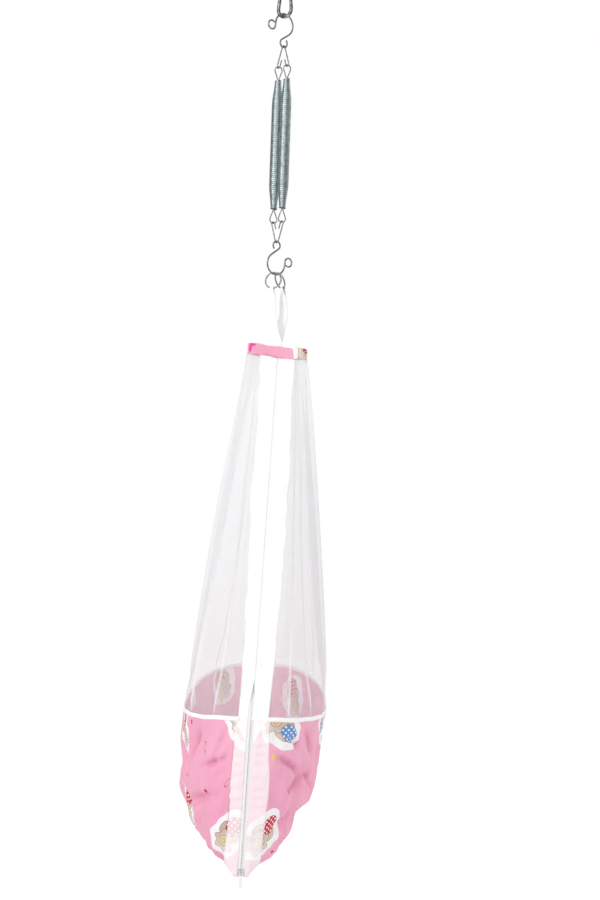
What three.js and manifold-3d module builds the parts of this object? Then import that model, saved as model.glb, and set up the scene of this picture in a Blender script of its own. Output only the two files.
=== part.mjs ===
// Hanging baby cradle: a net sling with a zip, hung on a pair of extension springs.
// Millimetres, +Z up. The origin is the crown inside the snap hook, where the cradle hangs.
// The zip end of the sling faces -Y.
import * as THREE from "three";
import { mergeVertices } from "three/addons/utils/BufferGeometryUtils.js";
import Module from "manifold-3d";

const wasm = await Module();
wasm.setup();

// Clearances
const seat = 0.3; // pieces that rest on each other
const runGap = 0.4; // pieces that turn or slide in each other
const seamGap = 0.8; // cloth edges that meet at a slant
const overrun = 2; // how far a cutter passes the face it cuts

// Snap hook: a pear of round rod, narrow end up, gate on the right
const snap = {
  rod: 8, height: 80, wideBore: 12, narrowBore: 7.5, yaw: -28,
  tang: 9, tangThickness: 3, nose: 5, gateRod: 7, gateFork: 7.5, slotDepth: 2.2, pinBore: 3,
  sides: 12,
};

// S-hook: the same bent wire part is used twice
const hook = {
  wire: 3.8, bow: 24, lean: 56, eye: 9.5, eyeTurn: 262, eyeTail: 4,
  flankTurn: 85, guardRun: 9, guard: 9.5, guardTurn: 312, yaw: 39, sides: 8,
};

// Spreader: a V of wire that parts the two springs
const spreader = { wire: 3, drop: 47, halfSpan: 13.5, hookBend: 4.4, apexBend: 4.4, tail: 14, yaw: -45, sides: 8 };

// Eye: wire loop like a safety pin, its two shanks side by side in the spring's end
const eye = { wire: 2.6, loop: 8.2, taper: 20, neckBend: 4, shank: 14, yaw: 20, sides: 8 };

// Spring: close barrel coil with long drawn-in ends
const spring = {
  length: 288, coils: 44, wire: 5, midDiameter: 24.3, endDiameter: 17.2,
  taperShare: 0.24, stepsPerCoil: 8, sides: 5,
};

// Rings that carry the sling
const ring = { wire: 3.4, bend: 18, along: 4.5, sides: 8, steps: 28 };
const ringFront = { side: -1, yaw: -20, lean: -12 };
const ringBack = { side: 1, yaw: -60, lean: 24 };

// Straps: each runs up from the neck band, over its ring and down again
const strap = { thickness: 1.6, width: 20, bunched: 8, loopGap: 1.2, spread: 28, tuck: 13, bow: 7, steps: 12, turnSteps: 6 };
const strapRowShare = 1.6; // how much closer a strap's rows lie near its ring
const strapSettleShare = 0.84; // where down its length a strap lies flat and square to the band

// Neck band: a flattened loop of cloth
const band = { width: 131, depth: 28, height: 25, wall: 2.4, top: 793, steps: 10 };

// Sling: rim, net and bag
const cloth = { net: 1.2, bag: 2, tape: 0.8, facing: 1.2, binding: 3 };
const sling = {
  rimDrop: 1575, rimRise: 27, rimWidth: 306, rimLength: 740, bindingHeight: 8,
  bagWidth: 292, keelDrop: 1876, keelLength: 600, keelWidth: 40,
  driftAtNeck: 9, driftAtRim: -10, driftAtKeel: -22, pleats: 6, pleatDepth: 5,
};
const foldEdgeShare = 0.5; // net: how fast its folds fade in from the seams
const widthGrowthShare = 1.18; // net: how fast its width grows on the way down
const bellyStartShare = 0.35; // bag: how far down it reaches its full width
const bellyShare = 4.8; // bag: how long its sides stay full before they draw in
const ovalShare = 2.5; // section of net and bag: 2 is an ellipse, more is squarer
const keelPinchShare = 0.05; // how much of the keel's width is left at its seam

// Zip: two nylon coils on tapes, with cloth facings outside them
const zip = { coilInner: 0.6, coilOuter: 3.2, coilHeight: 2.4, tapeEdge: 14, facingEdge: 36, topGap: 6, stop: 4 };
const facingLimitShare = 0.5; // the most of the bag's half width that a facing takes near the tip
const slider = {
  length: 13, width: 9.5, plate: 1.2, web: 0.4, lip: 0.7, bailWire: 1.4, bailHeight: 4.2, bailLength: 8,
  rest: 3, sides: 8,
};
const pull = { length: 31, width: 6, thickness: 1.4, eye: 3.4, bar: 1.5 };

const clothSteps = { around: 24, net: 6, bag: 9, strip: 6 };
const backSeam = clothSteps.around + 1; // the panels' last column
const bendStep = 20; // degrees between the points of a bend
const halvings = 24; // how often a search halves its range

const steel = (name, color, roughness) => new THREE.MeshStandardMaterial({ name, color, roughness, metalness: 1 });
const fabric = (name, color, extra = {}) =>
  new THREE.MeshStandardMaterial({ name, color, roughness: 0.9, metalness: 0, ...extra });
const materials = {
  snapSteel: steel("polished_steel", 0x8b8c8a, 0.22),
  wireSteel: steel("zinc_wire", 0xb6bcc0, 0.35),
  springSteel: steel("zinc_spring", 0x8fa3ad, 0.3),
  net: fabric("net", 0xf4f2f4, { transparent: true, opacity: 0.35, side: THREE.DoubleSide }),
  print: fabric("printed_cotton", 0xf5a3c7),
  white: fabric("white_cotton", 0xf7f5f5),
  nylon: fabric("nylon", 0xf2f2f0, { roughness: 0.5 }),
};

const cradle = new THREE.Group();
const radians = THREE.MathUtils.degToRad;
const vec = (x, y, z) => new THREE.Vector3(x, y, z);

// Adds one named piece
function add(name, geometry, material) {
  const mesh = new THREE.Mesh(geometry, material);
  mesh.name = name;
  cradle.add(mesh);
  return mesh;
}

// Triangles from a list of points and faces
function body(points, faces) {
  const geometry = new THREE.BufferGeometry();
  geometry.setAttribute("position", new THREE.Float32BufferAttribute(points.flatMap((p) => [p.x, p.y, p.z]), 3));
  geometry.setIndex(faces.flat());
  geometry.computeVertexNormals();
  return geometry;
}

// Closed body through a row of rings, each with as many points, capped at both ends
function loft(rings) {
  const count = rings[0].length;
  const points = rings.flat();
  const faces = [];
  for (let i = 0; i + 1 < rings.length; i += 1) {
    for (let j = 0; j < count; j += 1) {
      const a = i * count + j;
      const b = i * count + ((j + 1) % count);
      faces.push([a, b, b + count], [a, b + count, a + count]);
    }
  }
  const last = (rings.length - 1) * count;
  for (let j = 1; j + 1 < count; j += 1) {
    faces.push([0, j + 1, j], [last, last + j, last + j + 1]);
  }
  return body(points, faces);
}

// A ring that closes on itself, such as a torus of any route
function closedLoft(rings) {
  const count = rings[0].length;
  const faces = [];
  for (let i = 0; i < rings.length; i += 1) {
    for (let j = 0; j < count; j += 1) {
      const next = (i + 1) % rings.length;
      const turn = (j + 1) % count;
      faces.push([i * count + j, i * count + turn, next * count + turn]);
      faces.push([i * count + j, next * count + turn, next * count + j]);
    }
  }
  return body(rings.flat(), faces);
}

// Closed sheet between two grids of points, [row][column], the outer one facing out
function sheet(outer, inner) {
  const rows = outer.length;
  const columns = outer[0].length;
  const size = rows * columns;
  const points = [...outer.flat(), ...inner.flat()];
  const faces = [];
  const at = (row, column) => row * columns + column;
  const quad = (a, b, c, d) => faces.push([a, b, c], [a, c, d]);
  for (let r = 0; r + 1 < rows; r += 1) {
    for (let c = 0; c + 1 < columns; c += 1) {
      quad(at(r, c), at(r, c + 1), at(r + 1, c + 1), at(r + 1, c));
      quad(size + at(r, c), size + at(r + 1, c), size + at(r + 1, c + 1), size + at(r, c + 1));
    }
    quad(at(r, 0), at(r + 1, 0), size + at(r + 1, 0), size + at(r, 0));
    const end = columns - 1;
    quad(at(r, end), size + at(r, end), size + at(r + 1, end), at(r + 1, end));
  }
  for (let c = 0; c + 1 < columns; c += 1) {
    quad(at(0, c), size + at(0, c), size + at(0, c + 1), at(0, c + 1));
    const end = rows - 1;
    quad(at(end, c), at(end, c + 1), size + at(end, c + 1), size + at(end, c));
  }
  return outward(body(points, faces));
}

// Turns a body's faces round if they point inwards
function outward(geometry) {
  const p = geometry.getAttribute("position");
  const index = geometry.getIndex().array;
  const [a, b, c] = [new THREE.Vector3(), new THREE.Vector3(), new THREE.Vector3()];
  let volume = 0;
  for (let i = 0; i < index.length; i += 3) {
    a.fromBufferAttribute(p, index[i]);
    b.fromBufferAttribute(p, index[i + 1]);
    c.fromBufferAttribute(p, index[i + 2]);
    volume += a.dot(b.cross(c));
  }
  if (volume < 0) {
    for (let i = 0; i < index.length; i += 3) {
      [index[i + 1], index[i + 2]] = [index[i + 2], index[i + 1]];
    }
  }
  geometry.computeVertexNormals();
  return geometry;
}

function toSolid(geometry) {
  const bare = geometry.clone();
  bare.deleteAttribute("normal");
  bare.deleteAttribute("uv");
  const merged = mergeVertices(bare);
  return new wasm.Manifold(new wasm.Mesh({
    numProp: 3,
    vertProperties: new Float32Array(merged.getAttribute("position").array),
    triVerts: new Uint32Array(merged.getIndex().array),
  }));
}

function fromSolid(solid) {
  const mesh = solid.getMesh();
  const geometry = new THREE.BufferGeometry();
  geometry.setAttribute("position", new THREE.Float32BufferAttribute(mesh.vertProperties, 3));
  geometry.setIndex(Array.from(mesh.triVerts));
  geometry.computeVertexNormals();
  return geometry;
}

// Wire forming: a flat route made of straight runs and bends, the way a bending machine feeds it.
// A positive bend turns left. The points are [h, z] in the wire's own plane.
function formWire(start, heading, program) {
  const points = [start];
  let [h, z] = start;
  let angle = radians(heading);
  for (const step of program) {
    if (step.run) {
      h += step.run * Math.cos(angle);
      z += step.run * Math.sin(angle);
      points.push([h, z]);
      continue;
    }
    const pieces = Math.max(2, Math.ceil(Math.abs(step.bend) / bendStep));
    const turn = radians(step.bend) / pieces;
    const chord = 2 * step.radius * Math.sin(Math.abs(turn) / 2);
    for (let i = 0; i < pieces; i += 1) {
      h += chord * Math.cos(angle + turn / 2);
      z += chord * Math.sin(angle + turn / 2);
      angle += turn;
      points.push([h, z]);
    }
  }
  return points;
}

// Joins two routes that leave the same point in opposite directions
const joinRoutes = (back, forth) => [...back.slice(1).reverse(), ...forth];

// Round wire along a flat route
function wire(route, diameter, sides) {
  const points = route.map(([h, z]) => vec(h, 0, z));
  const rings = points.map((p, i) => {
    const ahead = points[Math.min(i + 1, points.length - 1)];
    const behind = points[Math.max(i - 1, 0)];
    const before = p.clone().sub(behind).normalize();
    const after = ahead.clone().sub(p).normalize();
    const along = before.clone().add(after).normalize();
    const across = vec(along.z, 0, -along.x);
    const ends = i === 0 || i === points.length - 1;
    const mitre = ends ? 1 : 1 / Math.max(along.dot(after), 0.5);
    return circle(p, across.multiplyScalar(mitre), vec(0, 1, 0), diameter / 2, sides);
  });
  return outward(loft(rings));
}

// Points of a circle in the plane of two directions
function circle(centre, first, second, radius, sides) {
  return Array.from({ length: sides }, (_, k) => {
    const a = (2 * Math.PI * (k + 0.5)) / sides;
    return centre.clone()
      .addScaledVector(first, radius * Math.cos(a))
      .addScaledVector(second, radius * Math.sin(a));
  });
}

// Places a piece drawn in the XZ plane: turned to its yaw, moved to its point
function place(mesh, yaw, x, y, z) {
  mesh.rotation.z = radians(yaw);
  mesh.position.set(x, y, z);
  return mesh;
}

// Heights of the chain's contacts, from the hang point down
const snapBottom = -(snap.height - snap.rod);
const hookHeight = hook.bow + hookFall() + hook.eye;
const topHookTop = snapBottom + snap.rod + seat + hook.wire / 2;
const topHookLow = topHookTop - hookHeight;
const upperApex = topHookLow + hook.wire / 2 + seat + spreader.wire / 2;
const upperHooks = upperApex - spreader.drop;
const eyeLift = spreader.wire / 2 + seat + eye.wire / 2;
const upperEyeTop = upperHooks + eyeLift;
const neck = eyeNeck();
const springTop = upperEyeTop - neck.drop;
const springFoot = springTop - spring.length;
const lowerEyeFoot = springFoot - neck.drop;
const lowerHooks = lowerEyeFoot + eyeLift;
const lowerApex = lowerHooks - spreader.drop;
const lowerHookTop = lowerApex + spreader.wire / 2 + seat + hook.wire / 2;
const lowerHookLow = lowerHookTop - hookHeight;
const ringTop = lowerHookLow + hook.wire / 2 + seat + ring.wire / 2;

// How far the S-hook's small eye lies under the centre of its bow
function hookFall() {
  const g = radians(hook.lean);
  return (hook.bow + hook.eye) * Math.sin(g) + hookDiagonal() * Math.cos(g);
}

// The S-hook's straight part, so long that the small eye hangs right under the bow's crown
function hookDiagonal() {
  const g = radians(hook.lean);
  return ((hook.bow + hook.eye) * Math.cos(g)) / Math.sin(g);
}

// The eye's tapering legs: how long they run and how far the loop stands off the spring
function eyeNeck() {
  const t = radians(eye.taper);
  const half = eye.wire / 2 + seat / 2;
  const run = (eye.loop * Math.cos(t) - eye.neckBend * (1 - Math.cos(t)) - half) / Math.sin(t);
  const drop = eye.loop * (1 + Math.sin(t)) + run * Math.cos(t) + eye.neckBend * Math.sin(t);
  return { run, drop };
}

makeSnapHook();
makeHook("top_s_hook", topHookTop, false);
makeHook("lower_s_hook", lowerHookLow, true);
makeSpreader("upper_spreader", upperApex, 1);
makeSpreader("lower_spreader", lowerApex, -1);
for (const [name, side] of [["left", -1], ["right", 1]]) {
  makeEye(`upper_eye_${name}`, side, upperEyeTop, 1);
  makeEye(`lower_eye_${name}`, side, lowerEyeFoot, -1);
  makeSpring(`spring_${name}`, side);
}
makeRing("ring_front", ringFront);
makeRing("ring_back", ringBack);
makeStrap("strap_front", ringFront);
makeStrap("strap_back", ringBack);
makeNeckBand();
for (const [name, side] of [["left", -1], ["right", 1]]) {
  makeNet(`net_${name}`, side);
  makeBinding(`rim_binding_${name}`, side);
  makeBag(`bag_${name}`, side);
  makeStrip(`zip_facing_${name}`, side, facingRow, 0, cloth.facing, materials.white);
  makeStrip(`zip_tape_${name}`, side, tapeRow, 0, cloth.tape, materials.white);
  makeStrip(`zip_coil_${name}`, side, coilRow, coilStart(), zip.coilHeight, materials.nylon);
}
makeZipStops();
makeSlider();

// Snap hook body, gate and pin
function makeSnapHook() {
  const wide = snap.wideBore + snap.rod / 2;
  const narrow = snap.narrowBore + snap.rod / 2;
  const centres = snap.height - snap.rod * 2 - snap.wideBore - snap.narrowBore;
  const slope = Math.asin((wide - narrow) / centres);
  const side = centres * Math.cos(slope);
  const slopeDegrees = THREE.MathUtils.radToDeg(slope);
  const corner = [narrow * Math.cos(slope), -snap.narrowBore + narrow * Math.sin(slope)];
  const along = [-Math.sin(slope), Math.cos(slope)];
  const hinge = [corner[0] - along[0] * snap.tang, corner[1] - along[1] * snap.tang];
  const route = formWire(hinge, 90 + slopeDegrees, [
    { run: snap.tang },
    { bend: 180 - 2 * slopeDegrees, radius: narrow },
    { run: side },
    { bend: 180 + 2 * slopeDegrees, radius: wide },
    { run: snap.nose },
  ]);
  const pinAt = [hinge[0] + along[0] * snap.rod / 2, hinge[1] + along[1] * snap.rod / 2];

  // A box or a pin that crosses the hook's plane, laid along its gate side
  const onSide = (geometry, [h, z]) => {
    geometry.rotateY(-slope);
    geometry.translate(h, 0, z);
    return toSolid(geometry);
  };
  const bore = (radius, length) => onSide(new THREE.CylinderGeometry(radius, radius, length, snap.sides), pinAt);
  let rod = toSolid(wire(route, snap.rod, snap.sides));
  for (const face of [-1, 1]) {
    const flat = new THREE.BoxGeometry(snap.rod + overrun, snap.rod, snap.tang * 2);
    flat.translate(0, face * (snap.rod + snap.tangThickness) / 2, 0);
    rod = rod.subtract(onSide(flat, hinge));
  }
  rod = rod.subtract(bore(snap.pinBore / 2 + runGap / 4, snap.rod + overrun));
  place(add("snap_hook_body", fromSolid(rod), materials.snapSteel), snap.yaw, 0, 0, 0);

  const gateEnd = [route[route.length - 1][0] + along[0] * seat, route[route.length - 1][1] + along[1] * seat];
  const gateTop = [hinge[0] + along[0] * snap.gateFork, hinge[1] + along[1] * snap.gateFork];
  const gateLength = Math.hypot(gateTop[0] - gateEnd[0], gateTop[1] - gateEnd[1]);
  const middle = [(gateTop[0] + gateEnd[0]) / 2, (gateTop[1] + gateEnd[1]) / 2];
  const bar = new THREE.CylinderGeometry(snap.gateRod / 2, snap.gateRod / 2, gateLength, snap.sides);
  bar.rotateX(Math.PI / 2);
  const slotLength = (snap.gateFork + snap.slotDepth) * 2;
  const slot = new THREE.BoxGeometry(snap.rod + overrun, snap.tangThickness + runGap * 2, slotLength);
  const gate = onSide(bar, middle)
    .subtract(onSide(slot, gateTop))
    .subtract(bore(snap.pinBore / 2 + runGap / 4, snap.rod + overrun));
  place(add("snap_hook_gate", fromSolid(gate), materials.snapSteel), snap.yaw, 0, 0, 0);
  const pin = bore(snap.pinBore / 2, snap.gateRod);
  place(add("gate_pin", fromSolid(pin), materials.snapSteel), snap.yaw, 0, 0, 0);
  console.log("gate pin at", pinAt.map((value) => value.toFixed(2)).join(", "));
}

// S-hook, hung by the crown of its bow or, turned over, by its small eye
function makeHook(name, crown, turned) {
  const bow = formWire([0, 0], 0, [
    { bend: -(90 + hook.lean), radius: hook.bow },
    { run: hookDiagonal() },
    { bend: hook.eyeTurn, radius: hook.eye },
    { run: hook.eyeTail },
  ]);
  const guard = formWire([0, 0], 180, [
    { bend: hook.flankTurn, radius: hook.bow },
    { run: hook.guardRun },
    { bend: -hook.guardTurn, radius: hook.guard },
  ]);
  const geometry = wire(joinRoutes(guard, bow), hook.wire, hook.sides);
  if (turned) {
    geometry.rotateY(Math.PI);
  }
  place(add(name, geometry, materials.wireSteel), hook.yaw, 0, 0, crown);
}

// Spreader: way is 1 with the apex up, -1 with the apex down
function makeSpreader(name, apex, way) {
  const { drop, halfSpan, hookBend, apexBend, tail } = spreader;
  const rise = drop - apexBend - hookBend;
  const reach = Math.hypot(halfSpan, rise);
  const lean = Math.atan2(halfSpan, rise) + Math.asin((hookBend - apexBend) / reach);
  const leanDegrees = THREE.MathUtils.radToDeg(lean);
  const leg = formWire([halfSpan, -drop], 0, [
    { bend: 90 + leanDegrees, radius: hookBend },
    { run: Math.sqrt(reach * reach - (hookBend - apexBend) ** 2) },
    { bend: 90 - leanDegrees, radius: apexBend },
  ]);
  const hookEnd = formWire([halfSpan, -drop], 180, [
    { bend: -(90 - leanDegrees), radius: hookBend },
    { run: tail },
  ]);
  const half = joinRoutes(hookEnd, leg);
  const other = half.slice(0, -1).reverse().map(([h, z]) => [-h, z]);
  const geometry = wire([...half, ...other].map(([h, z]) => [h, z]), spreader.wire, spreader.sides);
  if (way < 0) {
    geometry.rotateX(Math.PI);
  }
  place(add(name, geometry, materials.wireSteel), spreader.yaw, 0, 0, apex);
}

// Where the two springs hang, on either side of the chain
function springPlace(side) {
  const yaw = radians(spreader.yaw);
  return [side * spreader.halfSpan * Math.cos(yaw), side * spreader.halfSpan * Math.sin(yaw)];
}

// Eye: way is 1 above the spring and -1 below it
function makeEye(name, side, top, way) {
  const half = formWire([0, 0], 0, [
    { bend: -(90 + eye.taper), radius: eye.loop },
    { run: neck.run },
    { bend: eye.taper, radius: eye.neckBend },
    { run: eye.shank },
  ]);
  const other = half.slice(1).reverse().map(([h, z]) => [-h, z]);
  const geometry = wire([...other, ...half], eye.wire, eye.sides);
  if (way < 0) {
    geometry.rotateX(Math.PI);
  }
  const [x, y] = springPlace(side);
  place(add(name, geometry, materials.wireSteel), eye.yaw, x, y, top);
}

// Spring: one unbroken coil whose ends draw in towards the eyes
function makeSpring(name, side) {
  const steps = spring.coils * spring.stepsPerCoil;
  const foot = springFoot + spring.wire / 2;
  const climb = spring.length - spring.wire;
  const points = [];
  for (let i = 0; i <= steps; i += 1) {
    const t = i / steps;
    const toEnd = Math.min(t, 1 - t) / spring.taperShare;
    const swell = toEnd >= 1 ? 1 : Math.sin((toEnd * Math.PI) / 2);
    const radius = (spring.endDiameter + (spring.midDiameter - spring.endDiameter) * swell - spring.wire) / 2;
    const a = (2 * Math.PI * i) / spring.stepsPerCoil;
    points.push(vec(radius * Math.cos(a), radius * Math.sin(a), foot + climb * t));
  }
  const rings = points.map((p, i) => {
    const ahead = points[Math.min(i + 1, steps)];
    const behind = points[Math.max(i - 1, 0)];
    const along = ahead.clone().sub(behind).normalize();
    const out = vec(p.x, p.y, 0).normalize();
    const up = along.clone().cross(out).normalize();
    return circle(p, out, up, spring.wire / 2, spring.sides);
  });
  let gap = Infinity;
  for (let i = 0; i + spring.stepsPerCoil <= steps; i += 1) {
    gap = Math.min(gap, points[i].distanceTo(points[i + spring.stepsPerCoil]) - spring.wire);
  }
  console.log(`${name}: least gap between coils ${gap.toFixed(2)} mm`);
  const mesh = add(name, outward(loft(rings)), materials.springSteel);
  const [x, y] = springPlace(side);
  mesh.position.set(x, y, 0);
}

// Directions of a ring: along its wire at the top, and from its top to its foot
function ringFrame(which) {
  const yaw = radians(which.yaw);
  const lean = radians(which.lean);
  const hookYaw = radians(hook.yaw);
  const across = vec(Math.cos(yaw), Math.sin(yaw), 0);
  const down = vec(-Math.sin(yaw) * Math.sin(lean), Math.cos(yaw) * Math.sin(lean), -Math.cos(lean));
  const offset = which.side * ring.along;
  const rise = (offset * offset) / (2 * hook.bow);
  const top = vec(offset * Math.cos(hookYaw), offset * Math.sin(hookYaw), ringTop + rise);
  const centre = top.clone().addScaledVector(down, ring.bend);
  const foot = top.clone().addScaledVector(down, ring.bend * 2);
  return { across, down, top, centre, foot };
}

function makeRing(name, which) {
  const { across, down, centre } = ringFrame(which);
  const normal = across.clone().cross(down).normalize();
  const rings = Array.from({ length: ring.steps }, (_, i) => {
    const a = (2 * Math.PI * i) / ring.steps;
    const out = across.clone().multiplyScalar(Math.cos(a)).addScaledVector(down, Math.sin(a));
    return circle(centre.clone().addScaledVector(out, ring.bend), out, normal, ring.wire / 2, ring.sides);
  });
  add(name, outward(closedLoft(rings)), materials.wireSteel);
}

// Strap: one strip over the ring's wire, both ends sewn inside the neck band
function makeStrap(name, which) {
  const { across, foot } = ringFrame(which);
  const turn = ring.wire / 2 + strap.loopGap + strap.thickness / 2;
  const together = (strap.thickness + seat) / 2;
  const endY = which.side * (band.depth / 2 - band.wall - seat - strap.thickness - seat / 2);
  const end = vec(sling.driftAtNeck, endY, -(band.top + strap.tuck));
  const settled = (t) => Math.min(1, t / strapSettleShare);
  const yawAt = (t) => radians(which.yaw) * (1 - settled(t));
  const rows = [];
  // One row across the strip: middle point, direction across it, its normal and its width
  const row = (p, wide, normal, width) => {
    const half = wide.clone().multiplyScalar(width / 2);
    const thick = normal.clone().multiplyScalar(strap.thickness / 2);
    rows.push([
      p.clone().add(half).add(thick),
      p.clone().sub(half).add(thick),
      p.clone().sub(half).sub(thick),
      p.clone().add(half).sub(thick),
    ]);
  };
  const leg = (side) => (t) => {
    const p = foot.clone().lerp(end, settled(t));
    p.x += which.side * strap.bow * Math.sin(Math.PI * settled(t));
    p.z = foot.z + (end.z - foot.z) * t;
    const wide = vec(Math.cos(yawAt(t)), Math.sin(yawAt(t)), 0);
    const normal = vec(-wide.y, wide.x, 0);
    const fall = foot.z - p.z;
    const close = Math.min(1, fall / strap.spread);
    p.addScaledVector(normal, side * (turn + (together - turn) * close));
    row(p, wide, normal.multiplyScalar(side), strap.bunched + (strap.width - strap.bunched) * close);
  };
  const shares = Array.from({ length: strap.steps }, (_, i) => ((i + 1) / strap.steps) ** strapRowShare);
  [...shares].reverse().forEach(leg(-1));
  const out = vec(-across.y, across.x, 0);
  for (let i = 0; i <= strap.turnSteps; i += 1) {
    const a = (Math.PI * i) / strap.turnSteps;
    const normal = out.clone().multiplyScalar(-Math.cos(a)).add(vec(0, 0, Math.sin(a)));
    row(foot.clone().addScaledVector(normal, turn), across, normal, strap.bunched);
  }
  shares.forEach(leg(1));
  add(name, outward(loft(rows)), materials.white);
}

// Neck band: a flattened loop
function makeNeckBand() {
  const sections = [];
  const low = -(band.top + band.height);
  const stadium = (inset) => {
    const r = band.depth / 2 - inset;
    const straight = band.width / 2 - band.depth / 2;
    const points = [];
    for (const side of [1, -1]) {
      for (let i = 0; i <= band.steps; i += 1) {
        const a = -side * (Math.PI / 2) + (Math.PI * i) / band.steps;
        points.push([sling.driftAtNeck + side * straight + r * Math.cos(a), r * Math.sin(a)]);
      }
    }
    return points;
  };
  const rim = stadium(0);
  const hollow = stadium(band.wall);
  for (let i = 0; i < rim.length; i += 1) {
    const [ox, oy] = rim[i];
    const [ix, iy] = hollow[i];
    sections.push([vec(ox, oy, low), vec(ox, oy, low + band.height), vec(ix, iy, low + band.height), vec(ix, iy, low)]);
  }
  add("neck_band", outward(closedLoft(sections)), materials.print);
}

// Half width and half length of the net, from the neck band (0) to the rim (1)
function netSize(v) {
  const wide = band.width / 2;
  const deep = band.depth / 2;
  return {
    a: wide + (sling.rimWidth / 2 - wide) * v ** widthGrowthShare,
    b: deep + (sling.rimLength / 2 - deep) * v,
    drift: sling.driftAtNeck + (sling.driftAtRim - sling.driftAtNeck) * v,
  };
}

// Half width and half length of the bag, from the rim (0) to the keel (1)
function bagSize(v) {
  const drawn = v ** bellyShare;
  const rimHalf = sling.rimWidth / 2;
  const belly = Math.min(1, v / bellyStartShare);
  const full = rimHalf + (sling.bagWidth / 2 - rimHalf) * Math.sin((belly * Math.PI) / 2);
  return {
    a: full * (1 - drawn) + (sling.keelWidth / 2) * drawn,
    b: (sling.rimLength + (sling.keelLength - sling.rimLength) * v) / 2,
    drift: sling.driftAtRim + (sling.driftAtKeel - sling.driftAtRim) * v,
  };
}

// Height of the rim: it rises towards both ends
function rimHeight(lengthShare) {
  return -sling.rimDrop + sling.rimRise * lengthShare * lengthShare;
}

// One point of the section of net or bag. The angle runs from the front (90) round the side to the back (-90).
function sectionPoint(size, side, angle, z) {
  const a = size.a - zip.tapeEdge;
  const c = Math.max(0, Math.cos(angle)) ** (2 / ovalShare);
  const s = Math.abs(Math.sin(angle)) ** (2 / ovalShare);
  const lengthShare = Math.sign(Math.sin(angle)) * s;
  return vec(size.drift + side * (zip.tapeEdge + a * c), -size.b * lengthShare, z(Math.abs(lengthShare)));
}

// The angle at which the zip facing ends
function facingAngle(size) {
  const a = size.a - zip.tapeEdge;
  const reach = Math.min(zip.facingEdge - zip.tapeEdge, a * facingLimitShare);
  return Math.acos((reach / a) ** (ovalShare / 2));
}

// The angle that lies a distance further round the section, found by halving
function furtherAngle(size, angle, distance) {
  const level = () => 0;
  const here = sectionPoint(size, 1, angle, level);
  let near = angle;
  let far = angle - Math.PI / 2;
  for (let i = 0; i < halvings; i += 1) {
    const middle = (near + far) / 2;
    if (sectionPoint(size, 1, middle, level).distanceTo(here) < distance) {
      near = middle;
    } else {
      far = middle;
    }
  }
  return far;
}

// Heights down the net and down the bag, each as a function of the place along the sling
function netHeight(v) {
  const top = -(band.top + band.height) - seat;
  return (share) => top + (rimHeight(share) + sling.bindingHeight / 2 + seat - top) * v;
}

function bagHeight(v) {
  const top = (share) => rimHeight(share) - sling.bindingHeight / 2 - seat;
  return (share) => top(share) + (-sling.keelDrop - top(share)) * v;
}

// Moves a grid of points along its own normals. Level rows keep their edges' height. Seam columns and rows,
// where the left and the right half meet, move straight away from the seam's plane.
function offsetGrid(grid, distance, side, level = [], seamColumn = -1, seamRow = -1) {
  const rows = grid.length;
  const columns = grid[0].length;
  return grid.map((line, r) => line.map((p, c) => {
    const along = grid[r][Math.min(c + 1, columns - 1)].clone().sub(grid[r][Math.max(c - 1, 0)]);
    const down = grid[Math.min(r + 1, rows - 1)][c].clone().sub(grid[Math.max(r - 1, 0)][c]);
    const normal = along.cross(down);
    if (level.includes(r)) {
      normal.z = 0;
    }
    if (c === seamColumn || r === seamRow) {
      normal.x = 0;
    }
    return p.clone().addScaledVector(normal.normalize(), side * distance);
  }));
}

// A panel of net, bag or binding from its facing to the back seam
function panelGrid(side, steps, down, sizeAt, heightAt, ripple = 0) {
  const grid = [];
  for (let r = 0; r <= down; r += 1) {
    const v = r / down;
    const size = sizeAt(v);
    const first = furtherAngle(size, facingAngle(size), seamGap);
    const line = [];
    for (let c = 0; c <= steps; c += 1) {
      const share = c / steps;
      const angle = first + (-Math.PI / 2 - first) * share;
      const fold = ripple * Math.sin(Math.PI * v) * Math.sin(Math.PI * share) ** foldEdgeShare;
      const pleat = fold * Math.cos(2 * Math.PI * sling.pleats * share);
      const p = sectionPoint({ ...size, a: size.a + pleat, b: size.b + pleat }, side, angle, heightAt(v));
      line.push(p);
    }
    const back = line[line.length - 1].clone();
    back.x = size.drift + side * seat / 2;
    line.push(back);
    grid.push(line);
  }
  return grid;
}

function makeNet(name, side) {
  const grid = panelGrid(side, clothSteps.around, clothSteps.net, netSize, netHeight, sling.pleatDepth);
  add(name, sheet(grid, offsetGrid(grid, cloth.net, side, [0, clothSteps.net], backSeam)), materials.net);
}

function makeBinding(name, side) {
  const size = () => netSize(1);
  const height = (v) => (share) => rimHeight(share) + sling.bindingHeight * (0.5 - v);
  const grid = panelGrid(side, clothSteps.around, 1, size, height);
  const out = offsetGrid(grid, -cloth.binding / 2, side, [0, 1], backSeam);
  add(name, sheet(out, offsetGrid(grid, cloth.binding / 2, side, [0, 1], backSeam)), materials.white);
}

function makeBag(name, side) {
  const grid = panelGrid(side, clothSteps.around, clothSteps.bag, bagSize, bagHeight);
  const middle = sling.driftAtKeel + side * seat / 2;
  const foot = grid[grid.length - 1].map((p) => vec(middle + (p.x - middle) * keelPinchShare, p.y, p.z - cloth.bag));
  grid.push(foot);
  add(name, sheet(grid, offsetGrid(grid, cloth.bag, side, [0], backSeam, clothSteps.bag + 1)), materials.print);
}

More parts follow.
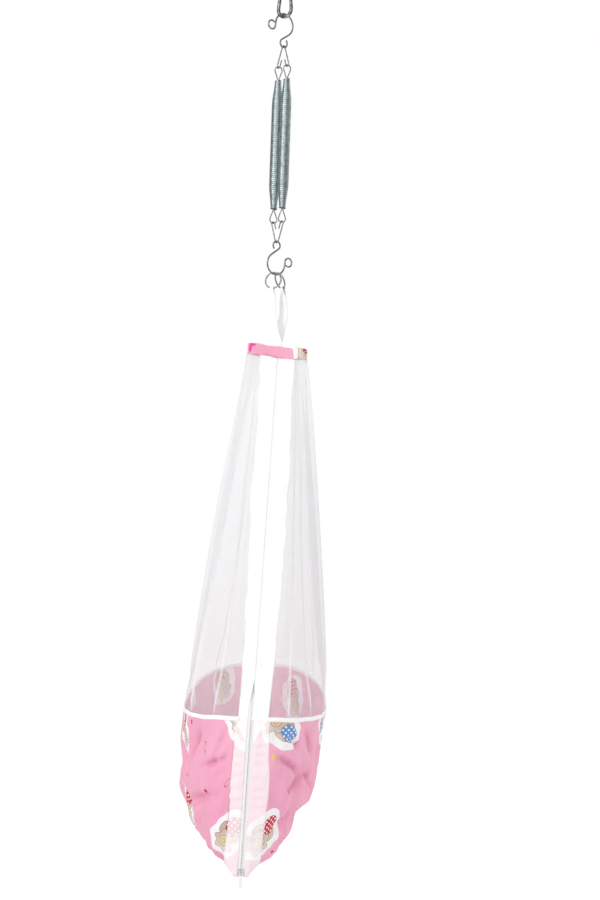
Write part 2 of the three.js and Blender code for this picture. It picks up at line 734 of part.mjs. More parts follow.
// Points across one row of each strip beside the zip, from the zip outwards
function facingRow(size, side, height) {
  const end = facingAngle(size);
  const start = furtherAngle(size, Math.PI / 2, seamGap);
  return [start, (start + end) / 2, end].map((angle) => sectionPoint(size, side, angle, height));
}
function tapeRow(size, side, height) {
  return [zip.coilOuter + seat, zip.tapeEdge].map((reach) => flatPoint(size, side * reach, height));
}
function coilRow(size, side, height) {
  return [zip.coilInner, zip.coilOuter].map((reach) => flatPoint(size, side * reach, height));
}

// A point of the flat front between the facings
function flatPoint(size, reach, height) {
  return vec(size.drift + reach, -size.b, height(1));
}

// Heights of the zip: down the net and down the bag
function upperZipHeight(v) {
  const top = -(band.top + band.height) - seat;
  return (share) => top + (rimHeight(share) - top) * v;
}
function lowerZipHeight(v) {
  return (share) => rimHeight(share) + (-sling.keelDrop - rimHeight(share)) * v;
}

// Strip beside the zip, from the neck band down to the tip of the bag
function makeStrip(name, side, rowAt, start, thickness, material) {
  const grid = [];
  for (let r = 0; r < clothSteps.net; r += 1) {
    const v = start + ((1 - start) * r) / clothSteps.net;
    grid.push(rowAt(netSize(v), side, upperZipHeight(v)));
  }
  for (let r = 0; r <= clothSteps.strip; r += 1) {
    const v = r / clothSteps.strip;
    grid.push(rowAt(bagSize(v), side, lowerZipHeight(v)));
  }
  const level = [0, grid.length - 1];
  const out = offsetGrid(grid, -thickness / 2, side, level);
  add(name, sheet(out, offsetGrid(grid, thickness / 2, side, level)), material);
}

// How far down the net the coils start
function coilStart() {
  return zip.topGap / (sling.rimDrop - band.top - band.height);
}

// The zip's straight stretch down the bag: its upper and lower end and its directions
function zipLine() {
  const upper = flatPoint(bagSize(0), 0, rimHeight);
  const lower = flatPoint(bagSize(1), 0, () => -sling.keelDrop);
  const along = upper.clone().sub(lower).normalize();
  const across = vec(1, 0, 0).addScaledVector(along, -along.x).normalize();
  const out = across.clone().cross(along).normalize();
  return { upper, lower, along, across, out };
}

// Puts a piece drawn with X across, Y outwards and Z along the zip in its place
function onZip(geometry, distance) {
  const { lower, along, across, out } = zipLine();
  const turn = new THREE.Matrix4().makeBasis(across, out.clone().negate(), along);
  const origin = lower.clone().addScaledVector(along, distance);
  geometry.applyMatrix4(turn.setPosition(origin));
  return geometry;
}

function makeZipStops() {
  const width = zip.coilOuter * 2;
  const bottom = new THREE.BoxGeometry(width, zip.coilHeight, zip.stop / 2);
  add("zip_bottom_stop", onZip(bottom, -zip.stop / 4 - seat), materials.wireSteel);
  const high = flatPoint(netSize(coilStart()), 0, upperZipHeight(coilStart()));
  const top = new THREE.BoxGeometry(width, zip.coilHeight, zip.stop / 2);
  top.translate(high.x, high.y, high.z + zip.stop / 4 + seat);
  add("zip_top_stop", top, materials.wireSteel);
}

// Slider: two plates joined by a web between the coils, with a bail outside
function makeSlider() {
  const inner = zip.coilHeight / 2 + runGap;
  const outer = inner + slider.plate;
  const half = slider.width / 2;
  const lipInner = cloth.tape / 2 + runGap;
  const quarter = [
    [slider.web / 2, inner],
    [half - slider.lip, inner],
    [half - slider.lip, lipInner],
    [half, lipInner],
    [half, outer],
  ];
  const mirror = (points, sx, sy) => points.map(([x, y]) => [x * sx, y * sy]);
  const outline = [
    ...quarter,
    ...mirror(quarter, -1, 1).reverse(),
    ...mirror(quarter, -1, -1),
    ...mirror(quarter, 1, -1).reverse(),
  ];
  const shape = new THREE.Shape(outline.map(([x, y]) => new THREE.Vector2(x, y)));
  const block = new THREE.ExtrudeGeometry(shape, { depth: slider.length, bevelEnabled: false, steps: 1 });
  const bailHalf = slider.bailLength / 2;
  const bailRoute = formWire([-bailHalf, 0], 90, [
    { run: slider.bailHeight - slider.bailWire },
    { bend: -90, radius: slider.bailWire },
    { run: slider.bailLength - slider.bailWire * 2 },
    { bend: -90, radius: slider.bailWire },
    { run: slider.bailHeight - slider.bailWire },
  ]);
  const bailBase = -(outer - slider.bailWire / 2);
  const standing = new THREE.Matrix4().makeBasis(vec(0, 0, 1), vec(1, 0, 0), vec(0, -1, 0));
  const straight = wire(bailRoute, slider.bailWire, slider.sides).applyMatrix4(
    standing.setPosition(0, bailBase, slider.length / 2),
  );
  const joined = fromSolid(toSolid(block).add(toSolid(outward(straight))));
  add("zip_slider", onZip(joined, slider.rest), materials.wireSteel);

  const { lower, along, out } = zipLine();
  const barOffset = outer + (slider.bailHeight - slider.bailWire) / 2;
  const pivot = lower.clone().addScaledVector(along, slider.rest + slider.length / 2 - bailHalf + slider.bailWire + pull.bar)
    .addScaledVector(out, barOffset);
  console.log("pull pivot", pivot.toArray().map((value) => value.toFixed(2)).join(", "));
  console.log("zip direction", along.toArray().map((value) => value.toFixed(4)).join(", "));
  const tab = new THREE.Shape();
  const w = pull.width / 2;
  tab.moveTo(-w, pull.bar / 2);
  tab.lineTo(-w, -(pull.length - w));
  tab.absarc(0, -(pull.length - w), w, Math.PI, 2 * Math.PI, false);
  tab.lineTo(w, pull.bar / 2);
  const hole = new THREE.Path();
  const e = pull.eye / 2;
  const holeTop = -pull.bar / 2;
  hole.moveTo(-e, holeTop);
  hole.lineTo(e, holeTop);
  hole.lineTo(e, holeTop - pull.eye);
  hole.lineTo(-e, holeTop - pull.eye);
  tab.holes.push(hole);
  const strip = new THREE.ExtrudeGeometry(tab, { depth: pull.thickness, bevelEnabled: false, steps: 1, curveSegments: 6 });
  strip.translate(0, 0, -pull.thickness / 2);
  strip.rotateX(Math.PI / 2);
  strip.translate(pivot.x, pivot.y, pivot.z);
  add("zip_pull", strip, materials.nylon);
}

export default cradle;
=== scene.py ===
# %% [markdown]
# # A hanging baby cradle, dressed in Blender
# The cradle is a net sling that hangs from a snap hook by wire hooks, two springs, two rings and two cloth straps.
# The CAD model already fixes where every piece is and how it moves. This lesson gives the pieces their looks.
# Steel parts keep their CAD shape and get a finish. Cloth and springs are built again, finer, in the same places.

# %% Load the frame and measure it
from functools import partialmethod
from math import acos, cos, pi, radians, sin

import bmesh
import bpy
import numpy as np
from mathutils import Matrix, Vector


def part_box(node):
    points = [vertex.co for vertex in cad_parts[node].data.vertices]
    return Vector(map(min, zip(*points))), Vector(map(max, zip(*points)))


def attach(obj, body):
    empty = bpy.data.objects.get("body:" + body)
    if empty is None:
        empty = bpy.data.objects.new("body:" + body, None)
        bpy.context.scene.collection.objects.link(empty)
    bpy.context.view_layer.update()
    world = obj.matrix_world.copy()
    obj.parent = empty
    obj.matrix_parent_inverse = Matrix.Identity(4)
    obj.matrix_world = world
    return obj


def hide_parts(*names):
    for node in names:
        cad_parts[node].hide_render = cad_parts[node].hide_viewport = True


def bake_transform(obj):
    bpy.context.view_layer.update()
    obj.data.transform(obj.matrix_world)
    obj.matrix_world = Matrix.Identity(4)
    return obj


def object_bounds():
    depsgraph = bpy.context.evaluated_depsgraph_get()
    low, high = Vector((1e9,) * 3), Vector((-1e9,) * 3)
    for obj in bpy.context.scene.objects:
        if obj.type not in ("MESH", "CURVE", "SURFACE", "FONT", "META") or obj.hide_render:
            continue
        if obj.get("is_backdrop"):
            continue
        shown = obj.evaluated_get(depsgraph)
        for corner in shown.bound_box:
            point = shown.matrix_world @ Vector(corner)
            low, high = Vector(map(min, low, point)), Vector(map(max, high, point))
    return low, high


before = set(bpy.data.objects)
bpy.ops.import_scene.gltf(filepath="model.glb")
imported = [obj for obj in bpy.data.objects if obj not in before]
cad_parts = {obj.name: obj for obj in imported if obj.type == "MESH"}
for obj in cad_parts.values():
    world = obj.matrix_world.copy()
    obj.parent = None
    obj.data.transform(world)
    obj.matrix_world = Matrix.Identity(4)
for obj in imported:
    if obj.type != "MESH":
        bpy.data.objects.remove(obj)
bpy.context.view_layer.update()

# %% [markdown]
# ## A short way to draw node trees
# A node tree is a drawing of boxes and wires. Written out it gets long, so `Tree` makes a box in one line, and lets
# plain sums such as `a * 2 + b` turn into Math nodes. Shapes of a print can then be written as formulas. The world, the
# materials and the Geometry Nodes below all use it.

# %% Node helper
class Reading:
    """What comes out of a node. Sums with it make Math nodes."""

    def __init__(self, tree, node, output=0):
        self.tree, self.node, self.output = tree, node, output

    @property
    def socket(self):
        return self.node.outputs[self.output]

    def at(self, output):
        """Another output of the same node."""
        return Reading(self.tree, self.node, output)

    def sum(self, operation, *others):
        return self.tree.make("ShaderNodeMath", dict(enumerate((self, *others))), operation=operation)

    __add__, __sub__ = partialmethod(sum, "ADD"), partialmethod(sum, "SUBTRACT")
    __mul__, __truediv__ = partialmethod(sum, "MULTIPLY"), partialmethod(sum, "DIVIDE")
    __lt__, __gt__ = partialmethod(sum, "LESS_THAN"), partialmethod(sum, "GREATER_THAN")
    __abs__ = partialmethod(sum, "ABSOLUTE")


class Tree:
    """A node tree. Inputs are given by name or number, as values or as readings."""
    prefix = "ShaderNode"

    def __init__(self, tree):
        self.tree = tree

    def join(self, socket, value):
        if isinstance(value, Reading):
            self.tree.links.new(value.socket, socket)
        else:
            socket.default_value = value

    def make(self, kind, inputs=None, output=0, **settings):
        """Adds a node and returns what comes out of it."""
        node = self.tree.nodes.new(kind if "Node" in kind else self.prefix + kind)
        for key, value in settings.items():
            setattr(node, key, value)
        for key, value in (inputs or {}).items():
            self.join(node.inputs[key], value)
        return Reading(self, node, output)


# %% [markdown]
# ## Camera
# The photograph was taken from a few metres in front of the zip, level with the net, and the camera leaned a little.
# A 60 mm lens on the long side gives the same narrow view. Leaning the camera is a turn about its own line of sight.

# %% Set the camera
LENS, FILM, LEAN = 60, 36, radians(2)
CAMERA_PLACE = (0.067, -3.3, -1.0193)


def linked(name, data):
    """New object in the scene."""
    thing = bpy.data.objects.new(name, data)
    bpy.context.scene.collection.objects.link(thing)
    return thing


camera_data = bpy.data.cameras.new("studio_camera")
camera_data.lens, camera_data.sensor_width, camera_data.sensor_fit = LENS, FILM, "AUTO"
camera = linked("studio_camera", camera_data)
look = Vector((0, 1, 0))
up = Vector((-sin(LEAN), 0, cos(LEAN)))
camera.matrix_world = Matrix.Translation(CAMERA_PLACE) @ Matrix((look.cross(up), up, -look)).transposed().to_4x4()
bpy.context.scene.camera = camera
bpy.context.scene.view_settings.view_transform = "Standard"
print("camera at", [round(v, 3) for v in camera.location])

# %% [markdown]
# ## Light and background
# A product studio wraps an object in soft, even light before a white wall. The world gives that even light, and where
# the camera, a mirror or glass looks at it directly it is plain white. One lamp from the upper left adds a gentle slope
# of light, so that folds show, and two weak ones lift the right edge and the underside.

# %% Build the world and the lamps
SOFT_LIGHT, WALL_LIGHT = 0.80, 1.0
LAMPS = (  # name, place, the point it faces, size in metres, watts
    ("key_lamp", (-2.2, -2.4, 0.6), (0, 0, -1.4), 1.0, 46),
    ("rim_lamp", (2.2, 0.8, 0.4), (0, 0, -1.3), 1.0, 14),
    ("low_lamp", (1.5, -2.2, -2.3), (0, 0, -1.75), 0.8, 5),
)


def seen_directly(tree):
    """1 for rays that look at the background from the camera, off metal or through glass, and 0 for the rest."""
    ray = tree.make("LightPath", output="Is Camera Ray")
    return ray.sum("MAXIMUM", ray.at("Is Glossy Ray")).sum("MAXIMUM", ray.at("Is Transmission Ray"))


world = bpy.data.worlds.new("studio")
world.use_nodes = True
bpy.context.scene.world = world
world.node_tree.nodes.clear()
sky = Tree(world.node_tree)
soft, wall = (sky.make("Background", {"Color": (1, 1, 1, 1), "Strength": light}) for light in (SOFT_LIGHT, WALL_LIGHT))
sky.make("OutputWorld", {"Surface": sky.make("MixShader", {"Fac": seen_directly(sky), 1: soft, 2: wall})})

for name, place, aim, size, watts in LAMPS:
    data = bpy.data.lights.new(name, "AREA")
    data.size, data.energy = size, watts
    facing = (Vector(aim) - Vector(place)).to_track_quat("-Z", "Y")
    linked(name, data).matrix_world = Matrix.Translation(place) @ facing.to_matrix().to_4x4()
print("world and lamps ready")

# %% [markdown]
# ## A short way to write materials
# Every surface here is one Principled shader with patterns drawn by nodes, and no picture. `Finish` is such a material.
# Its methods are the few moves that all of them need: a place to paint, noise, a mix of two colours, a soft step
# between two limits, and relief.

# %% Material helper
class Finish(Tree):
    """One node material round a Principled shader."""

    def __init__(self, name, colour, roughness, metallic=0.0):
        self.material = bpy.data.materials.new(name)
        self.material.use_nodes = True
        self.material.diffuse_color = (*colour, 1)
        super().__init__(self.material.node_tree)
        self.shader = self.tree.nodes["Principled BSDF"]
        self.set("Base Color", (*colour, 1))
        self.set("Roughness", roughness)
        self.set("Metallic", metallic)

    def set(self, socket, value):
        self.join(self.shader.inputs[socket], value)

    def end(self, shader):
        """Takes another shader for the surface."""
        self.join(self.tree.nodes["Material Output"].inputs["Surface"], shader)

    def place(self, kind="Object"):
        """The point being painted: Object for solid pieces, UV for cloth cut from a flat pattern."""
        return self.make("TexCoord", output=kind)

    def split(self, vector):
        """The first two numbers of a vector."""
        parts = self.make("SeparateXYZ", {"Vector": vector})
        return parts, parts.at(1)

    def vector(self, operation, *values, **scale):
        inputs = dict(enumerate(values)) | {key.title(): value for key, value in scale.items()}
        return self.make("VectorMath", inputs, operation=operation)

    def stretched(self, place, scale):
        return self.make("Mapping", {"Vector": place, "Scale": scale})

    def noise(self, place, scale, detail=3.0, roughness=0.5):
        inputs = {"Vector": place, "Scale": scale, "Detail": detail, "Roughness": roughness}
        return self.make("TexNoise", inputs, "Fac")

    def mix(self, share, first, second):
        """Mixed colour. The Mix node keeps its colours at inputs 6 and 7, and gives the result at output 2."""
        colours = (value if isinstance(value, Reading) else (*value, 1) for value in (first, second))
        return self.make("Mix", dict(zip((0, 6, 7), (share, *colours))), 2, data_type="RGBA")

    def ease(self, value, low, high, to_low=0.0, to_high=1.0):
        """Smooth step of a value between two limits."""
        inputs = {"Value": value, "From Min": low, "From Max": high, "To Min": to_low, "To Max": to_high}
        return self.make("MapRange", inputs, interpolation_type="SMOOTHSTEP")

    def bump(self, height, distance, strength):
        """Adds relief in metres. A second call is laid over the first."""
        inputs = {"Height": height, "Distance": distance, "Strength": strength}
        link = self.shader.inputs["Normal"].links
        if link:
            inputs["Normal"] = Reading(self, link[0].from_node, link[0].from_socket.name)
        self.set("Normal", self.make("Bump", inputs))

    def sheen(self, weight, roughness=0.5):
        self.set("Sheen Weight", weight)
        self.set("Sheen Roughness", roughness)


print("material helper ready")

# %% [markdown]
# ## Floor and reflection tent
# The floor is pale, and plain white to the camera, with a trace of the object's shadow left in it. Polished metal looks
# grey only if it has something grey to reflect, so photographers hang grey cloth round it, with slits in front and
# behind. This tent is seen in reflections alone. It throws no shadow and takes no light from the cloth.

# %% Build the floor
FLOOR, FLOOR_REACH, FLOOR_GLOW, FLOOR_WHITE = -2.6, 8, 1.12, 0.8
PALE = (0.9, 0.9, 0.9)


def stage_piece(name, points, faces, glow):
    """Mesh that is there for the studio alone, its material and a glowing shader for it."""
    mesh = bpy.data.meshes.new(name)
    mesh.from_pydata(points, [], faces)
    finish = Finish(name, PALE, 0.9)
    mesh.materials.append(finish.material)
    piece = linked(name, mesh)
    piece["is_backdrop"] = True
    return piece, finish, finish.make("Emission", {"Strength": glow})


corners = [(x * FLOOR_REACH, y * FLOOR_REACH, FLOOR) for x, y in ((-1, -1), (1, -1), (1, 1), (-1, 1))]
_, pale_floor, glow = stage_piece("studio_floor", corners, [(0, 1, 2, 3)], FLOOR_GLOW)
matt = Reading(pale_floor, pale_floor.shader)
pale_floor.end(pale_floor.make("MixShader", {"Fac": seen_directly(pale_floor) * FLOOR_WHITE, 1: matt, 2: glow}))

print("floor at", FLOOR)

# %% Build the tent
TENT_RADIUS, TENT_CENTRE, TENT_GLOW, TENT_ROWS, TENT_COLUMNS = 2.4, -0.9, 0.28, 18, 72
SLITS = ((340, 368), (170, 190))  # degrees round the tent, from the camera's side

points, faces = [], []
for row in range(TENT_ROWS + 1):
    rise = pi * (row / TENT_ROWS - 0.5)
    for column in range(TENT_COLUMNS):
        turn = 2 * pi * column / TENT_COLUMNS
        out = TENT_RADIUS * cos(rise)
        points.append((out * sin(turn), -out * cos(turn), TENT_RADIUS * sin(rise) + TENT_CENTRE))
        degrees = (column + 0.5) / TENT_COLUMNS * 360
        if row < TENT_ROWS and not any(low < degrees + full < high for low, high in SLITS for full in (0, 360)):
            low, nxt = row * TENT_COLUMNS, (column + 1) % TENT_COLUMNS
            faces.append((low + column, low + nxt, low + TENT_COLUMNS + nxt, low + TENT_COLUMNS + column))
tent, grey_cloth, glow = stage_piece("reflection_tent", points, faces, TENT_GLOW)
grey_cloth.end(glow)
for ray in ("camera", "diffuse", "transmission", "volume_scatter", "shadow"):
    setattr(tent, "visible_" + ray, False)
print("tent of", len(faces), "faces")

# %% [markdown]
# ## Steel
# The snap hook is polished bar, rubbed darker and brighter by use. The bent wire parts and the springs are plated with
# zinc, which is paler and a little cloudy. All are metal, so their colour is the colour of their reflection, and slow
# noise in colour and roughness keeps them from looking like plain plastic.

# %% Make the steel finishes
CLOUDS, SCRATCHES, SCRATCH_DEPTH = 90.0, 1400.0, 0.00004


def steel(name, dark, pale, roughness, scratch=0.5, barrel=0.0):
    """Metal. With barrel, wound wire shines partly like the smooth barrel that its turns make up."""
    finish = Finish(name, pale, roughness, metallic=1.0)
    if barrel:
        way = {0: finish.make("Attribute", output="Vector", attribute_name="from_axis")}
        turned = finish.make("VectorTransform", way, vector_type="NORMAL", convert_from="OBJECT", convert_to="WORLD")
        smooth = finish.vector("SCALE", turned, scale=barrel)
        ridged = finish.vector("SCALE", finish.make("NewGeometry", output="Normal"), scale=1 - barrel)
        finish.set("Normal", finish.vector("NORMALIZE", finish.vector("ADD", smooth, ridged)))
    place = finish.place()
    finish.set("Base Color", finish.mix(finish.ease(finish.noise(place, CLOUDS, 4.0), 0.35, 0.65), dark, pale))
    rubbed = finish.noise(place, CLOUDS * 2, 2.0)
    finish.set("Roughness", finish.ease(rubbed, 0.3, 0.7, roughness * 0.75, roughness * 1.3))
    finish.bump(finish.noise(finish.stretched(place, (1, 1, 0.25)), SCRATCHES, 2.0), SCRATCH_DEPTH, scratch)
    return finish.material


polished_steel = steel("polished_steel", (0.20, 0.20, 0.20), (0.50, 0.49, 0.47), 0.18)
zinc_wire = steel("zinc_wire", (0.36, 0.36, 0.36), (0.50, 0.50, 0.49), 0.38)
zinc_spring = steel("zinc_spring", (0.46, 0.54, 0.565), (0.60, 0.69, 0.71), 0.34, scratch=0.05, barrel=0.7)
nickel = steel("nickel", (0.52, 0.52, 0.51), (0.74, 0.74, 0.72), 0.3, scratch=0.2)
print("steel finishes made")

# %% [markdown]
# ## Cotton
# Both cottons are plain weave: yarns cross over and under about every half millimetre. The UV map of each cloth piece
# is its flat cut in metres, so the weave and the print follow the cloth round its curves, as they do on real cloth.

# %% Make the plain cottons
YARN, WEAVE_DEPTH, WRINKLE_DEPTH, COTTON_ROUGHNESS, COTTON_SHEEN = 0.0006, 0.00008, 0.0010, 0.85, 0.15


def woven(finish, uv):
    """Relief of a plain weave over fine wrinkles, and the place across and along the cloth."""
    across, along = finish.split(uv)
    warp, weft = ((way * (2 * pi / YARN)).sum("SINE") for way in (across, along))
    wrinkles = finish.noise(finish.stretched(uv, (1, 0.45, 1)), 34.0, 4.0, 0.6)
    finish.bump(wrinkles, WRINKLE_DEPTH, 0.8)
    finish.bump(warp * weft, WEAVE_DEPTH, 0.35)
    return across, along


def cotton(name, colour, shade):
    finish = Finish(name, colour, COTTON_ROUGHNESS)
    uv = finish.place("UV")
    woven(finish, uv)
    finish.set("Base Color", finish.mix(finish.noise(uv, 60.0), shade, colour))
    finish.sheen(COTTON_SHEEN)
    return finish.material


white_cotton = cotton("white_cotton", (0.98, 0.975, 0.98), (0.94, 0.935, 0.94))
webbing = cotton("webbing", (0.985, 0.98, 0.985), (0.96, 0.955, 0.96))
zip_tape_cloth = cotton("zip_tape_cloth", (0.95, 0.95, 0.94), (0.90, 0.90, 0.89))
print("plain cottons made")

# %% [markdown]
# ## The print
# The pink cotton carries white clouds with a big flower over a dotted oval between two plain ones. Between the clouds
# lie small hearts, little flowers, thin loops and twigs. A Voronoi texture scatters one motif to each of its cells and
# gives each cell a random colour, which picks the motif, its turn and its tint. Every motif is a formula of the point's
# place in its cell, in millimetres.

# %% Draw the motifs
def scattered(finish, uv, cell, offset):
    """Place within the nearest motif's cell in millimetres, turned at random, and the cell's three random numbers."""
    moved = finish.vector("ADD", uv, offset)
    cells = {"Vector": moved, "Scale": 1 / cell, "Randomness": 0.55}
    voronoi = finish.make("TexVoronoi", cells, "Color", voronoi_dimensions="2D")
    chance = finish.make("SeparateColor", {"Color": voronoi})
    picks = [chance.at(i) for i in range(3)]
    away = finish.vector("SUBTRACT", moved, voronoi.at("Position"))
    turned = finish.make("VectorRotate", {"Vector": away, "Angle": picks[0] * (2 * pi)}, rotation_type="Z_AXIS")
    x, y = finish.split(turned)
    return x * 1000, y * 1000, picks


def heart(x, y, size):
    """Below 0 inside a heart."""
    x, y = x / size, y / size
    square = x * x + y * y - 1
    return square * square * square - x * x * y * y * y


def oval(x, y, wide, high):
    """Below 0 inside an oval."""
    return (x * x / wide ** 2 + y * y / high ** 2).sum("SQRT") - 1


def flower(x, y, size, petals=5, depth=0.13):
    """Below 0 inside a flower."""
    wave = (y.sum("ARCTAN2", x) * petals).sum("COSINE")
    return oval(x, y, size, size) + 1 - (wave * depth + 1 - depth)


def dots(x, y, step, radius):
    """1 inside dots on a square grid."""
    fx, fy = ((way / step).sum("FRACT") - 0.5 for way in (x, y))
    return (fx * fx + fy * fy) < (radius / step) ** 2


print("motif formulas ready")

# %% Lay out the print
PINK, DEEP_PINK, CLOUD = (0.91, 0.43, 0.58), (0.87, 0.36, 0.52), (0.93, 0.90, 0.92)
TAN, PALE_TAN, BROWN = (0.56, 0.42, 0.33), (0.74, 0.62, 0.52), (0.17, 0.11, 0.09)
RED, YELLOW, BLUE = (0.62, 0.02, 0.05), (0.90, 0.62, 0.12), (0.11, 0.30, 0.66)
SMALL_CELL, SMALL_OFFSET, CLOUD_CELL, CLOUD_OFFSET, CLOUD_SCALE = 0.072, (0.013, 0.021, 0), 0.19, (0.06, 0.085, 0), 0.84
CLOUD_REACH, CLOUD_SHARE, OUTLINE = 47.0, 0.8, 0.8


def printed(finish, uv):
    """Colour of the print."""
    colour = finish.mix(finish.ease(finish.noise(uv, 7.0, 2.0), 0.35, 0.7), DEEP_PINK, PINK)
    x, y, picks = scattered(finish, uv, SMALL_CELL, SMALL_OFFSET)
    small, bloom = picks[1], flower(x, y, 6.0, depth=0.2)
    hearts = heart(x, y, 4.5), -1, 0.22, RED
    for shape, low, high, tint in (hearts, (bloom, 0.22, 0.34, YELLOW), (bloom, 0.34, 0.46, BLUE)):
        colour = finish.mix((shape < 0) * (small > low) * (small < high), colour, tint)
    loop = (abs(oval(x - 4, y, 4.0, 11.0)) < 0.09) * (small > 0.55) * (small < 0.75)
    twig = (abs(x + y * y * 0.025 - 3) < 0.4) + (abs(x - y * 0.6) < 0.45) * (y > 0)
    twig = twig * (oval(x, y, 14.0, 14.0) < 0) * (small > 0.75)
    colour = finish.mix((loop + twig).sum("MINIMUM", 1.0), colour, BROWN)
    x, y, picks = scattered(finish, uv, CLOUD_CELL, CLOUD_OFFSET)
    x, y, shown = x * CLOUD_SCALE, y * CLOUD_SCALE, picks[1] < CLOUD_SHARE
    reach = (x * x * 1.9 + y * y).sum("SQRT") + (finish.noise(uv, 26.0, 1.0) - 0.5) * 24
    colour = finish.mix((reach < CLOUD_REACH) * shown, colour, CLOUD)
    plain = finish.mix(finish.ease(x * 0.6 - y * 0.4 + finish.noise(uv, 60.0) * 24, -10.0, 28.0), PALE_TAN, TAN)
    dotted = finish.mix(dots(x, y, 7.5, 1.9), finish.mix(picks[2] < 0.5, BLUE, RED), CLOUD)
    for shape, tint, size in (
        (oval(x + 13, y + 6, 7.0, 13.0), plain, 10), (oval(x - 14, y + 4, 7.0, 12.0), plain, 10),
        (oval(x, y + 18, 14.0, 19.0), dotted, 16), (flower(x + 1, y - 17, 22.0, 6), plain, 22),
        (oval(x + 1, y - 17, 9.0, 9.0), PALE_TAN, 9), (oval(x + 1, y - 17, 4.0, 4.0), YELLOW, 4),
    ):
        colour = finish.mix((shape < OUTLINE / size) * shown, colour, BROWN)
        colour = finish.mix((shape < 0) * shown, colour, tint)
    return colour


print("print laid out in cells of", SMALL_CELL, "and", CLOUD_CELL, "m")

# %% [markdown]
# ## Three cloths with the print
# The bag shows the bare print. Under the thin facings the same print shows through white cloth. On the neck band a few
# more flowers lie at places of their own. Even studio light washes the creases out, so each of the three gets painted
# shade, a darker pink, where the cloth nearly faces itself, which an Ambient Occlusion node measures.

# %% Make the printed cottons
MAGENTA, VEIL, CREASE_SHADE_PINK = (0.82, 0.06, 0.30), (1.0, 0.96, 0.975), (0.55, 0.16, 0.30)
CREASE_REACH, CREASE_SHADE = 0.035, 0.58
BAND_FLOWERS = (  # across and along the neck band in metres, size in millimetres, petals, tint
    (-0.108, -0.015, 9.5, 3, MAGENTA), (-0.118, -0.025, 6.5, 3, MAGENTA), (0.009, -0.015, 6.0, 5, RED),
    (0.012, -0.029, 5.0, 5, BLUE), (-0.003, -0.026, 4.0, 4, TAN),
)


def print_finish(name, veil=0.0, more=()):
    """The printed cotton, the same seen through a white strip sewn over it, or with more flowers at given places."""
    finish = Finish(name, PINK, COTTON_ROUGHNESS)
    uv = finish.place("UV")
    across, along = woven(finish, uv)
    colour = printed(finish, uv)
    for u, v, size, petals, tint in more:
        colour = finish.mix(flower((across - u) * 1000, (along - v) * 1000, size, petals, 0.28) < 0, colour, tint)
    # Painted shade: where the cloth nearly faces itself, the colour is mixed towards a darker pink.
    open_share = finish.make("AmbientOcclusion", {"Distance": CREASE_REACH}, "AO", samples=12)
    crease_shaded = finish.mix(1 - CREASE_SHADE, colour, CREASE_SHADE_PINK)
    colour = finish.mix(finish.ease(open_share, 0.45, 0.95), crease_shaded, colour)
    if veil:
        flap = finish.ease(abs(across) * -2 - along, -0.015, -0.004, 1 - veil, 0)
        colour = finish.mix(flap + veil, colour, VEIL)
    finish.set("Base Color", colour)
    finish.sheen(COTTON_SHEEN)
    return finish.material


printed_cotton = print_finish("printed_cotton")
veiled_print = print_finish("veiled_print", veil=0.70)
band_print = print_finish("band_print", more=BAND_FLOWERS)
print("printed cotton has", len(printed_cotton.node_tree.nodes), "nodes")

# %% [markdown]
# ## Netting and nylon
# The net is fine knitted mesh: from a step away it is a grey veil, and close up it is threads round small holes. Alpha
# draws the threads, with a thin film between them, so that it looks right at both distances. Where the net lies double
# in a pinched gather it is closer, and a painted highlight makes it whiter.

# %% Make the netting and the nylon
NET_GREY, NET_HIGHLIGHT_WHITE, MESH_STEP, THREAD_SHARE = (0.85, 0.85, 0.87), (0.98, 0.98, 0.98), 0.0021, 0.09
FILM_ALPHA, THREAD_ALPHA, DOUBLED_ALPHA = 0.16, 0.5, 0.4

netting = Finish("netting", NET_GREY, 0.7)
across, along = netting.split(netting.place("UV"))
threads = None
for direction in (across * 0.5 + along * 0.866, across * 0.5 - along * 0.866, across):
    line = abs((direction / MESH_STEP).sum("FRACT") - 0.5) < THREAD_SHARE
    threads = line if threads is None else threads.sum("MAXIMUM", line)
doubled_and_highlit = netting.make("Attribute", output="Fac", attribute_name="doubled_and_highlit")
# Painted highlight: along pinched gathers the base colour turns whiter. The added alpha below is their real double
# layer.
netting.set("Base Color", netting.mix(doubled_and_highlit, NET_GREY, NET_HIGHLIGHT_WHITE))
netting.set("Alpha", threads * THREAD_ALPHA + FILM_ALPHA + doubled_and_highlit * DOUBLED_ALPHA)
netting.set("Sheen Weight", 0.2)
netting.material.surface_render_method = "DITHERED"

nylon = Finish("nylon", (0.92, 0.92, 0.91), 0.42)
nylon.bump(nylon.noise(nylon.place(), 900.0), 0.00005, 0.4)
nylon.set("Base Color", nylon.mix(nylon.noise(nylon.place(), 120.0), (0.80, 0.80, 0.80), (0.90, 0.90, 0.90)))
print("netting and nylon made")

# %% [markdown]
# ## The steel parts
# Hooks, wires, rings and the zip slider already have their true shape in the CAD model. Their meshes are loose
# triangles, so each gets a Weld modifier, smooth shading, and an Edge Split that keeps real corners crisp. That leaves
# the shape as it is, and only the finish changes. The small zip parts get a fine bevel as well.

# %% Finish the steel parts
WELD, CORNER, FINE_CORNER = 0.00001, 50, 35


def finish_cad(name, finish, corner=CORNER, edge=0.0):
    """Shades a CAD piece smoothly up to a corner angle and paints it."""
    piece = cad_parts[name]
    piece.modifiers.new("weld", "WELD").merge_threshold = WELD
    if edge:
        soften = piece.modifiers.new("soft_edge", "BEVEL")
        soften.width, soften.segments, soften.limit_method, soften.angle_limit = edge, 2, "ANGLE", radians(corner)
    for face in piece.data.polygons:
        face.use_smooth = True
    piece.modifiers.new("crisp_corners", "EDGE_SPLIT").split_angle = radians(corner)
    piece.data.materials.clear()
    piece.data.materials.append(finish)


